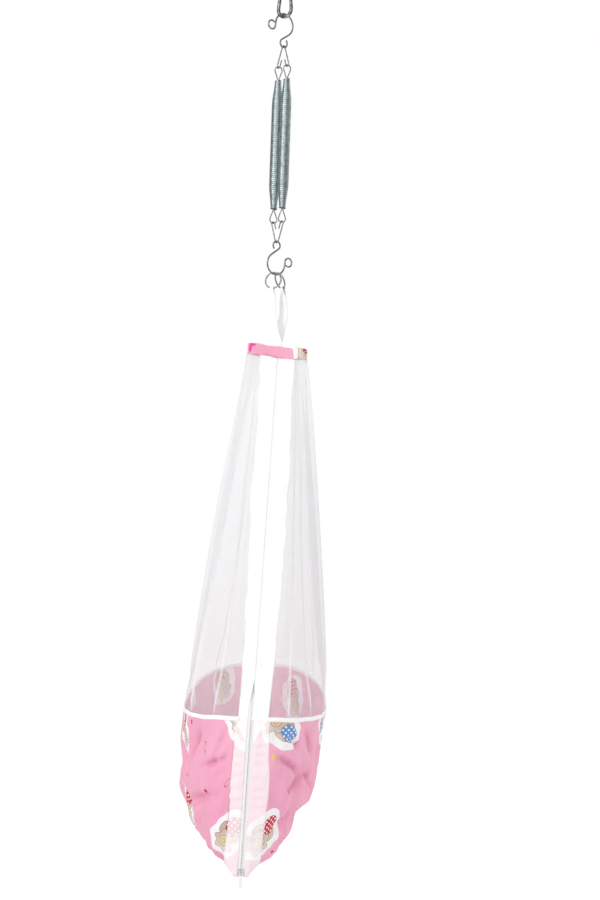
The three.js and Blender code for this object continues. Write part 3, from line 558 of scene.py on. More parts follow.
for name in ("snap_hook_body", "snap_hook_gate", "gate_pin"):
    finish_cad(name, polished_steel)
for name in ("top_s_hook", "lower_s_hook", "upper_spreader", "lower_spreader", "upper_eye_left", "upper_eye_right",
             "lower_eye_left", "lower_eye_right", "ring_front", "ring_back"):
    finish_cad(name, zinc_wire)
for name in ("zip_slider", "zip_bottom_stop", "zip_top_stop"):
    finish_cad(name, nickel, FINE_CORNER, 0.0003)
finish_cad("zip_pull", nylon.material, FINE_CORNER, 0.0004)
print("steel parts finished")

# %% [markdown]
# ## Springs
# Each spring is a close coil that swells from narrow ends to a full middle. Its shape follows a rule, so Geometry Nodes
# can wind it: a line is cut into many points, every point is turned about the line by its share of the turns, and a
# small circle is swept along the result. The turns and radii are inputs of the tree, so another spring is one change.
# Each point keeps the direction away from the spring's axis, which the metal's shading reads.

# %% Geometry Nodes helper
class Maker(Tree):
    """A Geometry Nodes tree with named inputs."""
    prefix = "GeometryNode"

    def __init__(self, name, inputs):
        super().__init__(bpy.data.node_groups.new(name, "GeometryNodeTree"))
        face = self.tree.interface
        face.new_socket("Geometry", in_out="OUTPUT", socket_type="NodeSocketGeometry")
        for label, kind in {"Geometry": "Geometry", **inputs}.items():
            face.new_socket(label, in_out="INPUT", socket_type="NodeSocket" + kind)
        self.start = self.make("NodeGroupInput")
        self.given = [self.start.at(label) for label in inputs]

    def close(self, geometry, finish):
        """Ends the tree as the export needs it: smooth, then a real mesh of one material."""
        smooth = self.make("SetShadeSmooth", {"Geometry": geometry})
        real = self.make("RealizeInstances", {"Geometry": smooth})
        self.make("NodeGroupOutput", {0: self.make("SetMaterial", {"Geometry": real, "Material": finish})})


def grown(name, tree, guide, sizes):
    """Runs a tree on a guide and keeps what it made as a plain mesh object."""
    holder = linked(name + "_guide", guide)
    modifier = holder.modifiers.new("grow", "NODES")
    modifier.node_group = tree
    for item in tree.interface.items_tree:
        if item.in_out == "INPUT" and item.name in sizes:
            modifier[item.identifier] = sizes[item.name]
    mesh = bpy.data.meshes.new_from_object(holder.evaluated_get(bpy.context.evaluated_depsgraph_get()))
    holder.modifiers.remove(modifier)
    bpy.data.objects.remove(holder)
    mesh.name = name
    return linked(name, mesh)


print("Geometry Nodes helper ready")

# %% Write the winding tree
SECTION_SIDES = 10


def winding(name, finish):
    """Tree that winds a barrel coil."""
    floats = dict.fromkeys(("Length", "Wire", "Middle", "End", "Taper"), "Float")
    maker = Maker(name, {"Turns": "Int", "Steps": "Int", **floats, "Foot": "Vector"})
    turns, steps, length, wire, middle, end, taper, foot = maker.given
    line = maker.make("CurvePrimitiveLine", {"Start": (0, 0, 0), "End": (0, 0, 1)})
    cut = maker.make("ResampleCurve", {"Curve": line, "Count": turns * steps + 1})
    share = maker.make("SplineParameter", output="Factor")
    from_end = share.sum("MINIMUM", share * -1 + 1) / taper
    swell = (from_end.sum("MINIMUM", 1.0) * pi).sum("COSINE") * -0.5 + 0.5
    radius = (end + (middle - end) * swell - wire) / 2
    turn = share * turns * (2 * pi)
    x, y, height = turn.sum("COSINE"), turn.sum("SINE"), share * (length - wire) + wire / 2
    spot = maker.make("ShaderNodeCombineXYZ", {0: x * radius, 1: y * radius, 2: height})
    placed = maker.make("ShaderNodeVectorMath", {0: spot, 1: foot}, operation="ADD")
    away = {"Geometry": cut, "Name": "from_axis", "Value": maker.make("ShaderNodeCombineXYZ", {0: x, 1: y})}
    marked = maker.make("StoreNamedAttribute", away, data_type="FLOAT_VECTOR")
    moved = maker.make("SetPosition", {"Geometry": marked, "Position": placed})
    section = maker.make("CurvePrimitiveCircle", {"Resolution": SECTION_SIDES, "Radius": wire / 2})
    maker.close(maker.make("CurveToMesh", {"Curve": moved, "Profile Curve": section, "Fill Caps": True}), finish)
    return maker.tree


coil_tree = winding("wind_spring", zinc_spring)
print("winding tree has", len(coil_tree.nodes), "nodes")

# %% [markdown]
# ## Wind both springs
# When the cradle is loaded its springs stretch: the top of each stays with the upper spreader and the foot goes down
# with the lower one.

# %% Wind the springs
SIDES = ((-1, "left"), (1, "right"))
COIL = {"Turns": 64, "Steps": 28, "Wire": 0.00438, "Middle": 0.0247, "End": 0.0152, "Taper": 0.2}

for side, hand in SIDES:
    low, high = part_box("spring_" + hand)
    foot = ((low.x + high.x) / 2, (low.y + high.y) / 2, low.z)
    sizes = {**COIL, "Length": high.z - low.z, "Foot": foot}
    spring = grown("coil_spring_" + hand, coil_tree, bpy.data.meshes.new("empty"), sizes)
    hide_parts("spring_" + hand)
    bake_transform(spring)
    print(spring.name, len(spring.data.polygons), "faces")

# %% [markdown]
# ## The shape of the sling
# Net and bag are one closed curve that changes on its way down: a flat oval at the neck band, a long one at the rim,
# and a narrow keel. These are the same formulas and sizes as in the CAD source, in metres, so that the cloth lands
# where its solids are. Each panel runs from the zip's facing round to the back seam. Its points are spaced evenly along
# every row, which keeps folds and print from bunching.

# %% Write the sling's sections
TAPE_EDGE, OVAL = 0.014, 2.5
BAND_WIDTH, BAND_DEPTH, BAND_TOP, BAND_HEIGHT, BAND_WALL = 0.131, 0.028, 0.793, 0.025, 0.0024
RIM_DROP, RIM_RISE, RIM_WIDTH, RIM_LENGTH = 1.575, 0.027, 0.306, 0.740
BAG_WIDTH, KEEL_DROP, KEEL_LENGTH, KEEL_WIDTH = 0.292, 1.876, 0.600, 0.040
DRIFT_NECK, DRIFT_RIM, DRIFT_KEEL, BAG_SWAY = 0.009, -0.010, -0.022, -0.0045
NET_SPREAD, BAG_SHOULDER, BAG_DRAW = 1.18, 0.35, 4.8


def net_size(v):
    """Half width, half length, drift and sway of the section at a share of the way down."""
    return (BAND_WIDTH / 2 + (RIM_WIDTH - BAND_WIDTH) / 2 * v ** NET_SPREAD,
            BAND_DEPTH / 2 + (RIM_LENGTH - BAND_DEPTH) / 2 * v, DRIFT_NECK + (DRIFT_RIM - DRIFT_NECK) * v, 0.0)


def bag_size(v):
    full = RIM_WIDTH / 2 + (BAG_WIDTH - RIM_WIDTH) / 2 * sin(min(1, v / BAG_SHOULDER) * pi / 2)
    drawn = v ** BAG_DRAW
    return (full * (1 - drawn) + KEEL_WIDTH / 2 * drawn, (RIM_LENGTH + (KEEL_LENGTH - RIM_LENGTH) * v) / 2,
            DRIFT_RIM + (DRIFT_KEEL - DRIFT_RIM) * v, BAG_SWAY * sin(pi * v))


def rim_height(share):
    return -RIM_DROP + RIM_RISE * share * share


def net_height(v):
    """Height round the section there, as a function of the share of its half length."""
    top = -(BAND_TOP + BAND_HEIGHT)
    return lambda share: top + (rim_height(share) - top) * v


def bag_height(v):
    return lambda share: rim_height(share) + (-KEEL_DROP - rim_height(share)) * v


def rounded(value, power):
    """A sine or cosine raised to a power without losing its sign."""
    return np.sign(value) * np.abs(value) ** power


def section(size, side, angles, height):
    """Points round the section at some angles: 90 degrees is the front, -90 the back."""
    a, b, drift, sway = size
    round_share = np.maximum(0, np.cos(angles)) ** (2 / OVAL)
    length_share = rounded(np.sin(angles), 2 / OVAL)
    x = drift + side * (TAPE_EDGE + (a - TAPE_EDGE) * round_share) + sway * round_share
    return np.stack([x, -b * length_share, height(np.abs(length_share)) + 0 * x], axis=-1)


print("section at the rim is", round(2 * net_size(1)[0], 3), "x", round(2 * net_size(1)[1], 3), "m")

# %% Cut the sections into even rows
LINE_POINTS = 500
# How far the white facing reaches from the zip, going down, right (1) and left (-1). It is narrowest at the rim.
NET_FACING = {1: (0.038, 0.042, 0.045, 0.044, 0.040, 0.031), -1: (0.036, 0.030, 0.032, 0.027, 0.023, 0.023)}
BAG_FACING = {1: (0.036, 0.041, 0.043, 0.041, 0.036), -1: (0.030, 0.031, 0.031, 0.032, 0.034)}


def facing_edge(widths, side, v):
    return float(np.interp(v, np.linspace(0, 1, len(widths[side])), widths[side]))


def facing_angle(size, edge):
    wide = size[0] - TAPE_EDGE
    return acos((min(edge - TAPE_EDGE, wide * 0.5) / wide) ** (OVAL / 2))


def walked(points):
    """Distance from the first row of points, summed along the rows."""
    steps = np.linalg.norm(np.diff(points, axis=0), axis=-1)
    return np.concatenate([np.zeros((1, *steps.shape[1:])), np.cumsum(steps, axis=0)])


def even(line, count):
    """The same line with evenly spaced points, and its length."""
    steps = walked(line)
    wanted = np.linspace(0, steps[-1], count)
    return np.stack([np.interp(wanted, steps, line[:, i]) for i in range(3)], axis=-1), steps[-1]


def panel(side, columns, size_at, height_at, widths, shares):
    """Grid of points from the facing's edge round to the back seam, and the length of every row."""
    rows = []
    for v in shares:
        size = size_at(max(v, 0))
        angles = np.linspace(facing_angle(size, facing_edge(widths, side, v)), -pi / 2, LINE_POINTS)
        line = section(size, side, angles, height_at(v))
        seam = line[-1].copy()
        seam[0] = size[2]
        rows.append(even(np.vstack([line, seam]), columns + 1))
    return tuple(np.array(part) for part in zip(*rows))


print("rim is", round(2 * panel(1, 200, net_size, net_height, NET_FACING, [1])[1][0], 3), "m round")

# %% [markdown]
# ## Folds and cloth
# Soft folds are waves of many sizes and headings, laid over each other. Moved along the cloth's normal, they turn a
# smooth form into hung cloth. A grid of points then becomes a mesh, with its flat cut as the UV map, and a Solidify
# modifier gives woven cloth its thickness.

# %% Write the folds
def upto(value, full):
    """0 to 1 as a value goes from 0 to full."""
    return np.clip(value / full, 0, 1)


def unit(vectors):
    return vectors / np.maximum(np.linalg.norm(vectors, axis=-1, keepdims=True), 1e-12)


def outward(grid, side):
    """Unit normals of a grid, pointing out of the sling."""
    return unit(np.cross(np.gradient(grid, axis=1), np.gradient(grid, axis=0)) * -side)


def ripples(u, v, seed, size, slant=0.0, stretch=3.0, count=9):
    """Soft random folds, about `size` apart, longer down the cloth than across it. Between about -1 and 1."""
    chance = np.random.default_rng(seed)
    total = np.zeros_like(u)
    for _ in range(count):
        heading = slant + chance.normal(0, 0.35)
        pitch = size * chance.uniform(0.6, 1.7)
        across = u * cos(heading) + v * sin(heading)
        along = v * cos(heading) - u * sin(heading)
        total += np.cos(2 * pi * across / pitch + chance.uniform(0, 6.28)
                        + 1.3 * np.cos(2 * pi * along / (pitch * stretch) + chance.uniform(0, 6.28)))
    return total / count * 1.8


sample = ripples(*np.mgrid[0:1:50j, 0:1:50j], 1, 0.1)
print("ripples lie between", round(float(sample.min()), 2), "and", round(float(sample.max()), 2))

# %% Turn points into cloth
def painted_mesh(name, points, faces, uv, finish):
    """Smooth mesh object whose flat cut is given for each face corner."""
    mesh = bpy.data.meshes.new(name)
    mesh.from_pydata(points.reshape(-1, 3).tolist(), [], faces)
    mesh.uv_layers.new(name="flat_cut").data.foreach_set("uv", uv.astype(np.float32).ravel())
    mesh.polygons.foreach_set("use_smooth", np.full(len(faces), True))
    mesh.materials.append(finish)
    return linked(name, mesh)


def for_sling(piece, node=None):
    if node:
        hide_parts(node)
    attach(piece, "sling")


def cloth(name, grid, uv, finish, thickness, node, side=0):
    """Cloth of the sling from a grid of points and its flat cut, made closed by its own thickness."""
    rows, columns = grid.shape[:2]
    index = np.arange(rows * columns).reshape(rows, columns)
    faces = np.stack([index[:-1, :-1], index[1:, :-1], index[1:, 1:], index[:-1, 1:]], axis=-1).reshape(-1, 4)
    if side > 0:
        faces = faces[:, ::-1]
    piece = painted_mesh(name, grid, faces.tolist(), uv.reshape(-1, 2)[faces], finish)
    if thickness:
        wall = piece.modifiers.new("wall", "SOLIDIFY")
        wall.thickness, wall.offset, wall.use_even_offset = thickness, 0.0, False
    for_sling(piece, node)
    return piece


print("cloth helper ready")

# %% [markdown]
# ## The bag
# The bag is two panels of printed cotton that meet at the back and along the keel. It hangs from its rim and is drawn
# in towards the keel, so the cloth falls in soft slanting folds, deepest halfway down. The folds are moves of the
# points along the cloth's own normal, and they fade out at the seams, where the cloth is held.

# %% Place the creases
# Along the rim and down where a crease starts and ends, then its depth and width, on the right (1) and the left (-1).
BAG_CREASES = {
    1: ((0.005, 0.075, 0.11, 0.125, 0.006, 0.008), (0.02, 0.02, 0.09, 0.07, 0.003, 0.009),
        (0.05, 0.16, 0.17, 0.12, 0.009, 0.011), (0.10, 0.02, 0.19, 0.10, 0.006, 0.010),
        (0.03, 0.24, 0.13, 0.20, 0.005, 0.012), (0.17, 0.13, 0.22, 0.16, 0.011, 0.013),
        (0.06, 0.235, 0.42, 0.225, 0.007, 0.026), (0.36, 0.05, 0.44, 0.20, 0.006, 0.014),
        (0.55, 0.04, 0.60, 0.22, 0.006, 0.014)),
    -1: ((0.005, 0.085, 0.08, 0.112, 0.005, 0.008), (0.01, 0.02, 0.05, 0.10, 0.003, 0.009),
         (0.03, 0.17, 0.15, 0.19, 0.006, 0.012), (0.09, 0.03, 0.15, 0.12, 0.005, 0.012),
         (0.14, 0.22, 0.22, 0.16, 0.006, 0.013), (0.34, 0.06, 0.42, 0.21, 0.006, 0.014),
         (0.57, 0.05, 0.62, 0.20, 0.006, 0.014)),
}


def eased(share):
    """Smooth step of a share."""
    return share * share * (3 - 2 * share)


def crease(u, v, start_u, start_v, end_u, end_v, depth, width):
    """A long valley between two places of the flat cloth."""
    run_u, run_v = end_u - start_u, end_v - start_v
    share = np.clip(((u - start_u) * run_u + (v - start_v) * run_v) / (run_u ** 2 + run_v ** 2), 0, 1)
    away = np.hypot(u - start_u - share * run_u, v - start_v - share * run_v)
    return -depth * np.exp(-(away / width) ** 2) * (0.35 + 0.65 * np.sin(pi * np.clip(share, 0.02, 0.98)))


print(sum(len(lines) for lines in BAG_CREASES.values()), "creases")

# %% Make the bag
BAG_ROWS, BAG_COLUMNS, BAG_LAP, BAG_THICKNESS = 72, 260, -0.012, 0.0012
BAG_FOLD, FOLD_APART, BAG_WRINKLE, WRINKLE_APART, CREASE_SCALE = 0.0068, 0.085, 0.0018, 0.03, 2.4
# Seams hold the cloth flat: metres beside the zip, then shares before the back, below the rim and above the keel.
ZIP_HOLD, BACK_HOLD, RIM_HOLD, KEEL_HOLD = 0.02, 0.03, 0.12, 0.08
# Rows that close the keel: the share of the width they keep, their drop, and how far they lie past it on flat cloth.
KEEL_ROWS = ((0.6, 0.0012, 0.006), (0.25, 0.0018, 0.011), (0.02, 0.002, 0.015))

for side, hand in SIDES:
    down = np.linspace(BAG_LAP, 1, BAG_ROWS + 1)[:, None]
    grid, lengths = panel(side, BAG_COLUMNS, bag_size, bag_height, BAG_FACING, down[:, 0])
    share = np.linspace(0, 1, BAG_COLUMNS + 1)
    u, v = share * lengths[0] + 0 * down, walked(grid)
    held = eased(upto(u, ZIP_HOLD) * upto(1 - share, BACK_HOLD)) * upto(down, RIM_HOLD) * upto(1 - down, KEEL_HOLD)
    fold = BAG_FOLD * ripples(u, v, 5 + side, FOLD_APART, slant=0.35 * side)
    fold += BAG_WRINKLE * ripples(u, v, 15 + side, WRINKLE_APART, slant=-0.5)
    for line in BAG_CREASES[side]:
        fold += CREASE_SCALE * crease(u, v, *line)
    grid = grid + outward(grid, side) * (fold * held)[..., None]
    for width, drop, past in KEEL_ROWS:
        line = grid[BAG_ROWS] - (0, 0, drop)
        line[:, 0] = DRIFT_KEEL + (line[:, 0] - DRIFT_KEEL) * width
        grid, u, v = np.vstack([grid, line[None]]), np.vstack([u, u[-1:]]), np.vstack([v, v[BAG_ROWS] + past])
    uv = np.stack([side * u, -v], axis=-1)
    piece = cloth("bag_panel_" + hand, grid, uv, printed_cotton, BAG_THICKNESS, "bag_" + hand, side)

# %% [markdown]
# ## The net
# The net is cut much wider than the neck band and gathered into it, and it hangs almost straight from there, so its
# gathers run the whole way down. Broad folds are a slow wave round the sling. A few gathers are pinched sharp, and a
# painted highlight along them makes thin white lines. The sheet has one layer, because a veil shows every layer.

# %% Make the net
NET_ROWS, NET_COLUMNS, NET_LAP, NECK_TILT_SHARE = 60, 460, -0.008, 0.1
NET_FOLD, NET_WAVES = 0.0026, ((2.4, 3.0), (4.1, 2.6), (6.3, 1.1), (9.5, 0.3))
PINCHES = {-1: (0.075, 0.18, 0.33, 0.66, 0.84), 1: (0.06, 0.15, 0.28, 0.61, 0.79)}
PINCH_WIDTH, PINCH_HEIGHT, PINCH_WANDER, GATHER_COUNT, GATHER_HEIGHT = 0.0024, 0.0045, 0.010, 46, 0.0006
# Shares of the fall, then of the row, over which folds, gathers and pinches begin or die out.
NET_SETTLE, GATHER_FADE, PINCH_START, PINCH_SETTLE, DOUBLED_AND_HIGHLIT_FROM = 0.12, 0.08, 0.2, 0.03, 0.45
ZIP_FADE, BACK_FADE = 0.03, 0.02


def neck_tilt(x):
    """How far the neck band's edge lies above its CAD height: it hangs a little aslant."""
    return np.interp(x - DRIFT_NECK, (-0.065, -0.035, 0.0, 0.065), (0.0055, 0.003, -0.002, -0.0035))


for side, hand in SIDES:
    v = np.linspace(NET_LAP, 1.0, NET_ROWS + 1)[:, None]
    grid, lengths = panel(side, NET_COLUMNS, net_size, net_height, NET_FACING, v[:, 0])
    share = np.linspace(0, 1, NET_COLUMNS + 1)
    chance = np.random.default_rng(21 + side)
    wave = 0 * v * share
    for count, height in NET_WAVES:
        phase, drift = chance.uniform(0, 6.28), chance.normal(0, 0.9)
        wave += height * np.cos(2 * pi * count * share + phase + drift * v)
    slack = np.sin(pi * np.clip(v, 0, 1)) ** 0.7
    fold = NET_FOLD * wave * (0.25 + slack) * upto(1 - v, NET_SETTLE)
    gathers = np.cos(2 * pi * GATHER_COUNT * share + 1.5 * np.cos(9 * share))
    fold += GATHER_HEIGHT * gathers * np.exp(-np.clip(v, 0, 1) / GATHER_FADE)
    # Mask of the pinched gathers: it marks their double layer of net and where the netting paints a highlight.
    doubled_and_highlit = 0 * wave
    for place in PINCHES[side]:
        middle = place + PINCH_WANDER * np.sin(3 * v + 20 * place)
        width = PINCH_WIDTH / lengths[:, None]
        pinch = np.exp(-((share - middle) / width) ** 2) * upto(1 - v, PINCH_SETTLE) * upto(v, PINCH_START)
        fold += PINCH_HEIGHT * pinch
        doubled_and_highlit += pinch * upto(v - DOUBLED_AND_HIGHLIT_FROM, DOUBLED_AND_HIGHLIT_FROM)
    grid = grid + outward(grid, side) * (fold * upto(share, ZIP_FADE) * upto(1 - share, BACK_FADE))[..., None]
    grid[..., 2] += neck_tilt(grid[..., 0]) * np.clip(1 - v / NECK_TILT_SHARE, 0, 1)
    fall = walked(grid)
    uv = np.stack([side * (share * lengths[-1] + 0 * v), -fall], axis=-1)
    piece = cloth("net_panel_" + hand, grid, uv, netting.material, 0.0, "net_" + hand, side)
    layers = piece.data.attributes.new("doubled_and_highlit", "FLOAT", "POINT")
    layers.data.foreach_set("value", doubled_and_highlit.reshape(-1).astype(np.float32))

# %% [markdown]
# ## Rim tape
# A folded white tape hides the two raw edges where net and bag meet. Its section is a flattened oval, swept round the
# rim. It is sewn by machine, so it is almost even, with a slight wave where the cloth below it is fuller.

# %% Close a row of rings
def beside(path, side):
    """Level unit vectors that point out of a path."""
    return unit(np.cross(np.gradient(path, axis=0), (0, 0, 1.0)) * side)


def ringed(name, rings, uv_at, finish, loop=False):
    """Closed mesh object through rows of rings: a loop, or a tube with capped ends.

    uv_at gives the flat cut for numbers of rings and of places round them, which run on past the seam.
    """
    count, sides = rings.shape[:2]
    ring, place = np.meshgrid(np.arange(count if loop else count - 1), np.arange(sides), indexing="ij")
    ring, place = ring[..., None] + (0, 0, 1, 1), place[..., None] + (0, 1, 1, 0)
    faces = (ring % count * sides + place % sides).reshape(-1, 4).tolist()
    uv = [np.stack(uv_at(ring, place), axis=-1).reshape(-1, 2)]
    for end, way in () if loop else ((0, -1), (count - 1, 1)):
        places = np.arange(sides)[::way]
        faces.append((end * sides + places).tolist())
        uv.append(np.stack(uv_at(np.full(sides, end), places), axis=-1))
    piece = painted_mesh(name, rings, faces, np.vstack(uv), finish)
    work = bmesh.new()
    work.from_mesh(piece.data)
    bmesh.ops.recalc_face_normals(work, faces=work.faces)
    work.to_mesh(piece.data)
    work.free()
    return piece


print("ring helper ready")

# %% Make the rim tape
RIM_POINTS, TAPE_SIDES, TAPE_HALF_THICK, TAPE_HALF_HIGH, TAPE_WAVE = 300, 14, 0.0018, 0.0044, 0.0009
TAPE_ROUND, TAPE_CUT, TAPE_POWER = 0.022, 0.0108, 0.7

rim_paths = {}
for side, hand in SIDES:
    rim, length = panel(side, RIM_POINTS, net_size, lambda v: rim_height, NET_FACING, [1])
    path, length = rim[0], float(length[0])
    distance = np.linspace(0, length, len(path))
    path[:, 2] += TAPE_WAVE * np.sin(distance * 61 + side) * np.sin(distance * 23)
    rim_paths[side] = path
    turn = np.linspace(0, 2 * pi, TAPE_SIDES, endpoint=False)[:, None]
    rise = rounded(np.sin(turn), TAPE_POWER) * TAPE_HALF_HIGH * np.array((0, 0, 1.0))
    rings = path[:, None] + beside(path, side)[:, None] * rounded(np.cos(turn), TAPE_POWER) * TAPE_HALF_THICK + rise
    tape = ringed("rim_tape_" + hand, rings,
                  lambda ring, place: (distance[ring], TAPE_ROUND * place / TAPE_SIDES), white_cotton)
    for_sling(tape, "rim_binding_" + hand)
    print(tape.name, round(length, 3), "m long")

# %% [markdown]
# ## The zip's strips
# On each side of the coil runs a woven zip tape, and outside it a facing strip that is sewn over the cut edge of net
# and bag. On the net both look white. On the bag the facing is thin, and the pink print shows through it. So one strip
# has two materials, changed at the rim.

# %% Shape the strips' rows
STRIP_NET_ROWS, STRIP_BAG_ROWS, FACING_COLUMNS, TAPE_COLUMNS = 170, 84, 16, 5
OPEN, SLIDER_TOP, TAPE_START = 0.0065, -1.55, 0.0003
CLOSED = {1: 0.0007, -1: -0.002}  # where the facing's inner edge lies on the net, where the two meet
PARTING = 0.9, 0.97  # shares of the net's fall between which the facings part for the slider
LIP, LIP_DEPTH = (-0.0014, 0.0002, 0.0013), 0.0009  # the left tape reaches behind the gap, above the slider
# The facing stands proud of the tape under it, and more so over the coil: how far, from where and over what width.
TAPE_STEP, TAPE_STEP_FROM, TAPE_STEP_OVER = 0.001, 0.022, 0.006
COIL_STEP, COIL_STEP_OVER = {1: 0.0016, -1: 0.0028}, 0.003
LAP_START, LAP_POINTS, FACING_POINTS = 0.0005, 12, 80


def zip_rows(side, count_net, count_bag, start=0.0):
    """Size, height and the facing's two edges for every row down the zip."""
    rows = [(net_size(v), net_height(v), (float(np.interp(v, PARTING, (CLOSED[side], OPEN))),
                                          facing_edge(NET_FACING, side, v)))
            for v in np.linspace(start, 1, count_net, endpoint=False)]
    return rows + [(bag_size(v), bag_height(v), (OPEN, facing_edge(BAG_FACING, side, v)))
                   for v in np.linspace(0, 1, count_bag + 1)]


def facing_row(side, size, height, edges):
    angles = pi / 2 - (pi / 2 - facing_angle(size, edges[1]) + 0.01) * np.linspace(0.0, 1, FACING_POINTS) ** 2
    line = section(size, side, angles, height)
    lap = line[:1] + np.array((-side, 0, 0)) * np.linspace(TAPE_EDGE - edges[0], LAP_START, LAP_POINTS)[:, None]
    line = even(np.vstack([lap, line]), FACING_COLUMNS + 1)[0]
    away = np.abs(line[:, 0] - size[2])
    line[:, 1] -= TAPE_STEP * upto(TAPE_STEP_FROM - away, TAPE_STEP_OVER)
    line[:, 1] -= COIL_STEP[side] * upto(OPEN - away, COIL_STEP_OVER)
    return line


def tape_row(side, size, height, edges):
    reach = np.linspace(TAPE_START, TAPE_EDGE, TAPE_COLUMNS + 1)
    if side < 0 and height(1) > SLIDER_TOP:
        reach[:3] = LIP
    y = -size[1] + LIP_DEPTH * (reach < TAPE_START)
    return np.stack([size[2] + side * reach, y, height(1) + 0 * reach], axis=-1)


print("zip line of", len(zip_rows(1, STRIP_NET_ROWS, STRIP_BAG_ROWS)), "rows")

# %% Make the tapes and facings
FACING_THICK, TAPE_THICK, UV_SHIFT = 0.0009, 0.0007, 0.03
FACING_WAVE, TAPE_RIPPLE, WAVE_APART, PUCKER, PUCKER_STEP, EDGE_WANDER = 0.0028, 0.0005, 0.09, 0.0013, 0.023, 0.0016
# Metres down the zip: the facing puckers below the rim, a tape lies calm there, and the neck's tilt ends.
PUCKER_FROM, PUCKER_OVER, CALM_FROM, CALM_OVER, TILT_REACH = 0.80, 0.08, 0.73, 0.05, 0.08


def strip(name, side, row_at, wave, finishes, thickness, node):
    """Long strip beside the zip, loose as a facing with two finishes or calm as a tape with one."""
    loose = len(finishes) > 1
    grid = np.array([row_at(side, *row) for row in zip_rows(side, STRIP_NET_ROWS, STRIP_BAG_ROWS)])
    down = walked(grid[:, 0])[:, None]
    share = np.linspace(0, 1, grid.shape[1])
    width = np.linalg.norm(np.diff(grid, axis=1), axis=2).sum(axis=1)
    u, v = share * width[:, None], down + 0 * share
    below = upto(down - PUCKER_FROM, PUCKER_OVER)
    calm = upto(share - 0.12, 0.3) * (1 - 0.55 * below) if loose else upto(CALM_FROM - down, CALM_OVER)
    lift = wave * ripples(u + side, v, 40 + side, WAVE_APART, slant=1.2, stretch=1.0) * calm
    if loose:
        pucker = np.sin(2 * pi * v / PUCKER_STEP + 1.2 * np.sin(v * 70 + side)) * 4 * share * (1 - share)
        lift += PUCKER * pucker * np.clip(below * 3, 0, 1) * np.clip((down[-1] - v) / 0.15, 0.2, 1)
    grid = grid + outward(grid, side) * lift[..., None]
    if loose:
        grid[..., 0] += side * EDGE_WANDER * np.sin(v * 37 + side) * np.sin(v * 11 + 1) * share ** 2
    grid[..., 2] += neck_tilt(grid[..., 0]) * np.clip(1 - down / TILT_REACH, 0, 1)
    uv = np.stack([side * (u - UV_SHIFT), -(v - down[STRIP_NET_ROWS])], axis=-1)
    piece = cloth(name, grid, uv, finishes[0], thickness, node, side)
    if loose:
        piece.data.materials.append(finishes[1])
        rows = np.repeat(np.arange(len(grid) - 1), grid.shape[1] - 1)
        piece.data.polygons.foreach_set("material_index", (rows >= STRIP_NET_ROWS).astype(np.int32))
    return grid


facings = {}
for side, hand in SIDES:
    facings[side] = strip("zip_facing_strip_" + hand, side, facing_row, FACING_WAVE, (white_cotton, veiled_print),
                          FACING_THICK, "zip_facing_" + hand)
    strip("zip_tape_strip_" + hand, side, tape_row, TAPE_RIPPLE, (zip_tape_cloth,), TAPE_THICK, "zip_tape_" + hand)

# %% [markdown]
# ## Zip teeth
# This zip has a nylon coil on each tape: hundreds of small loops that hook into those of the other side. A tree places
# one short rounded loop on every step of a path along the tape. Both rows use it, half a step apart.

# %% Write the bead tree
def bead_tree(name, finish):
    """Tree that repeats a small rounded bar along a path. Its length lies across the path, or along it for stitches."""
    maker = Maker(name, {"Step": "Float", "Size": "Vector", "Out": "Vector"})
    step, size, out = maker.given
    curve = maker.make("MeshToCurve", {"Mesh": maker.start})
    cut = maker.make("ResampleCurve", {"Curve": curve, "Length": step}, mode="LENGTH")
    align = "FunctionNodeAlignRotationToVector"
    first = maker.make(align, {"Vector": maker.make("InputTangent")}, axis="Z")
    second = maker.make(align, {"Rotation": first, "Vector": out}, axis="Y", pivot_axis="Z")
    bead = maker.make("MeshIcoSphere", {"Radius": 0.5, "Subdivisions": 2})
    beads = {"Points": cut, "Instance": bead, "Rotation": second, "Scale": size}
    maker.close(maker.make("InstanceOnPoints", beads), finish)
    return maker.tree


def path_mesh(points):
    mesh = bpy.data.meshes.new("path")
    mesh.from_pydata([tuple(p) for p in points], [(i, i + 1) for i in range(len(points) - 1)], [])
    return mesh


teeth_tree = bead_tree("zip_teeth", nylon.material)
print("bead tree has", len(teeth_tree.nodes), "nodes")

# %% Make the zip teeth
TOOTH, TOOTH_STEP, TOOTH_OFFSET, TOOTH_DEPTH, TEETH_START = (0.0033, 0.0026, 0.0013), 0.0018, 0.0018, 0.0002, 0.009
TEETH_NET_ROWS, TEETH_BAG_ROWS = 80, 40

for side, hand in SIDES:
    path = np.array([(size[2] + side * TOOTH_OFFSET, -size[1] - TOOTH_DEPTH, height(1))
                     for size, height, _ in zip_rows(side, TEETH_NET_ROWS, TEETH_BAG_ROWS, TEETH_START)])
    if side > 0:
        path = even(path, len(path))[0] - (0, 0, TOOTH_STEP / 2)
    sizes = {"Step": TOOTH_STEP, "Size": TOOTH, "Out": (0, -1, 0)}
    coil = grown("zip_teeth_" + hand, teeth_tree, path_mesh(path), sizes)
    for_sling(coil, "zip_coil_" + hand)
    print(coil.name, len(coil.data.polygons), "faces")

# %% [markdown]
# ## Neck band
# The neck band is a loop of the same print, pressed flat and pulled up by the straps inside it. It hangs slightly
# aslant. The loop is a flat oval whose wall has rounded edges, and small puckers along both edges show its seams.

# %% Make the neck band
BAND_RINGS, BAND_SIDES, BAND_FIRST, BAND_GIRTH, BAND_CUT = 240, 32, 76, 0.054, 0.0265
BAND_PUCKER, BAND_LAY, LAY_APART, BAND_EDGE_WAVE, PRINT_SHIFT = 0.0011, 0.0016, 0.05, 0.0008, (0.196, 0.047)

